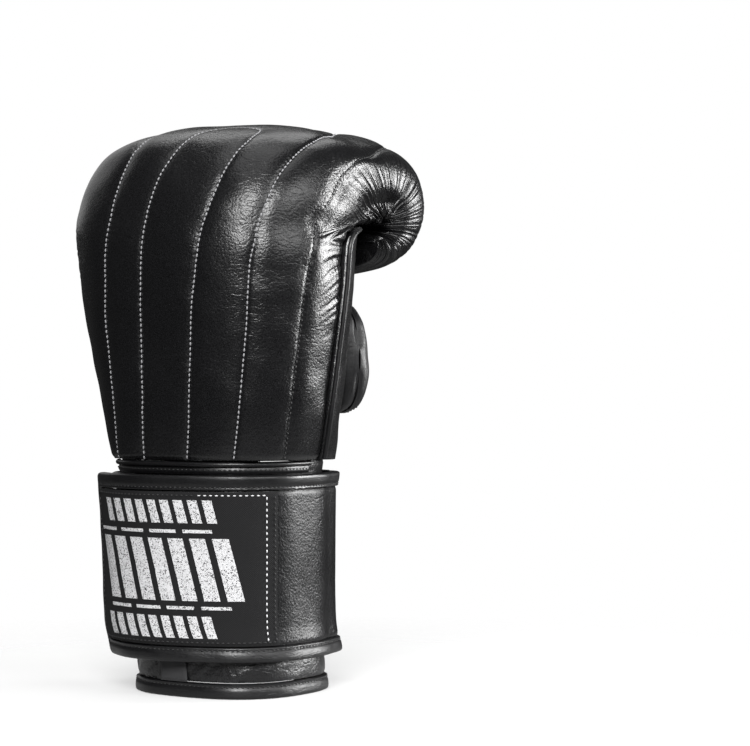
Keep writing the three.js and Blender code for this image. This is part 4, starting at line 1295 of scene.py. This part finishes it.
class GLOVE_OT_stitching(bpy.types.Operator):
    """Every visible row of stitches"""

    bl_idname = "glove.stitching"
    bl_label = "Stitching"

    def execute(self, context):
        pitch = sizes().stitch_pitch * PER_METRE
        thick = sizes().stitch_width * PER_METRE
        sewn = STITCHING
        # The outer quilting line takes the dark thread as painted shade: it is the same grey thread
        # as the other quilting lines, darkened for the shadowed groove it lies in. The bindings'
        # thread is really dark.
        dark = [sewn["quilting"][2], sewn["rim"], sewn["strap_binding"],
                *sewn["panel_bindings"], *sewn["patch_dark"], sewn["base_band"]]
        panel = [sewn["gusset_cross"], sewn["gusset_edge"], sewn["gusset_arch"],
                 *sewn["thumb_edge"], *sewn["thumb_root"]]
        stitches("quilting_stitches", sewn["quilting"][:2], pitch, 0.78 * pitch, thick,
                 "quilting thread", 0.12)
        stitches("binding_stitches", dark, pitch, 0.7 * pitch, thick * 0.9, "dark thread", 0.05)
        stitches("patch_stitches", sewn["patch_pale"], *PALE_STITCH, "pale thread", 0.08)
        stitches("panel_stitches", panel, pitch, 0.7 * pitch, thick * 0.85, "dark thread", 0.05)
        return {"FINISHED"}


# The stage.


# Where the floor starts to fade and where it is gone, in metres from the glove's middle.
FLOOR_FADE = (0.09, 0.34)


def floor_material():
    """Pale floor that fades away round the glove."""
    n = Nodes("pale floor")
    n.put(base_color=(0.92, 0.92, 0.92, 1), roughness=0.6)
    place = n.texture_place("Object")
    away = n.add("ShaderNodeVectorMath", {0: place}, operation="LENGTH").outputs["Value"]
    clear = n.add("ShaderNodeBsdfTransparent").outputs[0]
    fade = n.ramp(away, *FLOOR_FADE, 0.5, 1.0)
    blend = n.add("ShaderNodeMixShader", {0: fade, 1: n.shader.outputs[0], 2: clear})
    n.tree.links.new(blend.outputs[0], n.tree.nodes["Material Output"].inputs["Surface"])
    return n.material


FLOOR_SIZE = 1.4
WORLD_GLOW, WORLD_SEEN = 0.05, 1.0
AIM = np.array([0, 0, 0.17])
SENSOR = 36
CAMERA_TURN = math.radians(34)
CAMERA_DISTANCE = 1.2
CAMERA_HEIGHT = 0.1492
CAMERA_ASIDE = 0.0675
CAMERA_LENS = 121.68
# Name, azimuth and elevation as seen from the glove, distance, width, height, power.
LIGHTS = [
    ("key softbox", 31, 25, 1.3, 0.56, 0.46, 23),
    ("right softbox", 84, 22, 1.3, 0.8, 0.5, 8),
    ("side softbox", 138, 5, 1.3, 0.5, 0.4, 17),
    ("left softbox", 246, 22, 1.3, 0.9, 0.7, 1.3),
    ("back softbox", 214, 52, 1.5, 1.0, 0.6, 4),
    ("top softbox", 10, 84, 1.7, 1.3, 1.3, 8),
]


class GLOVE_OT_stage(bpy.types.Operator):
    """Pale floor, soft studio lights and the camera"""

    bl_idname = "glove.stage"
    bl_label = "Stage"

    def execute(self, context):
        bpy.ops.object.select_all(action="DESELECT")
        bpy.ops.mesh.primitive_plane_add(size=FLOOR_SIZE, location=(0, 0, 0))
        floor = bpy.context.active_object
        floor.name = "floor"
        floor.data.materials.append(floor_material())

        world = bpy.data.worlds.new("studio")
        context.scene.world = world
        world.use_nodes = True
        tree = world.node_tree
        seen = tree.nodes.new("ShaderNodeLightPath").outputs["Is Camera Ray"]
        glow = tree.nodes.new("ShaderNodeMapRange")
        tree.links.new(seen, glow.inputs["Value"])
        glow.inputs["To Min"].default_value = WORLD_GLOW
        glow.inputs["To Max"].default_value = WORLD_SEEN
        tree.nodes["Background"].inputs["Color"].default_value = (1, 1, 1, 1)
        tree.links.new(glow.outputs[0], tree.nodes["Background"].inputs["Strength"])

        for name, azimuth, elevation, distance, width, height, power in LIGHTS:
            a, e = math.radians(azimuth), math.radians(elevation)
            away = np.array([math.sin(a) * math.cos(e), -math.cos(a) * math.cos(e), math.sin(e)])
            bpy.ops.object.light_add(type="AREA", location=tuple(AIM + away * distance))
            lamp = bpy.context.active_object
            lamp.name = name
            lamp.data.shape = "RECTANGLE"
            lamp.data.size, lamp.data.size_y = width, height
            lamp.data.energy = power
            lamp.rotation_euler = (math.pi / 2 - e, 0, a)

        side = np.array([math.cos(CAMERA_TURN), math.sin(CAMERA_TURN), 0])
        back = np.array([math.sin(CAMERA_TURN), -math.cos(CAMERA_TURN), 0])
        place = RIM_MIDDLE * MM + back * CAMERA_DISTANCE + side * CAMERA_ASIDE
        place[2] = CAMERA_HEIGHT
        bpy.ops.object.camera_add(location=tuple(place), rotation=(math.pi / 2, 0, CAMERA_TURN))
        camera = bpy.context.active_object
        camera.data.lens = CAMERA_LENS
        camera.data.sensor_width = SENSOR
        context.scene.camera = camera
        context.scene.view_settings.view_transform = "Standard"
        return {"FINISHED"}


OPERATORS = [
    GLOVE_OT_fist_pad, GLOVE_OT_palm_panel, GLOVE_OT_gussets, GLOVE_OT_thumb, GLOVE_OT_sleeve,
    GLOVE_OT_wrist_rim, GLOVE_OT_cuff_panel, GLOVE_OT_strap, GLOVE_OT_base_trim,
    GLOVE_OT_size_tag, GLOVE_OT_stitching, GLOVE_OT_stage,
]


class GLOVE_PT_panel(bpy.types.Panel):
    """Sizes, colours and pieces of the glove"""

    bl_idname = "GLOVE_PT_panel"
    bl_label = "Bag Glove"
    bl_space_type = "VIEW_3D"
    bl_region_type = "UI"
    bl_category = "Glove"

    def draw(self, context):
        column = self.layout.column()
        for group in (context.scene.glove_sizes, context.scene.glove_colours):
            for key in group.bl_rna.properties.keys():
                if key not in ("rna_type", "name"):
                    column.prop(group, key)
        for operator in OPERATORS:
            column.operator(operator.bl_idname)


CLASSES = [GloveSizes, GloveColours, *OPERATORS, GLOVE_PT_panel]


def register():
    for item in CLASSES:
        bpy.utils.register_class(item)
    bpy.types.Scene.glove_sizes = bpy.props.PointerProperty(type=GloveSizes)
    bpy.types.Scene.glove_colours = bpy.props.PointerProperty(type=GloveColours)


def unregister():
    del bpy.types.Scene.glove_sizes
    del bpy.types.Scene.glove_colours
    for item in reversed(CLASSES):
        bpy.utils.unregister_class(item)


def main():
    register()
    for operator in OPERATORS:
        group, name = operator.bl_idname.split(".")
        getattr(getattr(bpy.ops, group), name)()


if __name__ == "__main__":
    main()
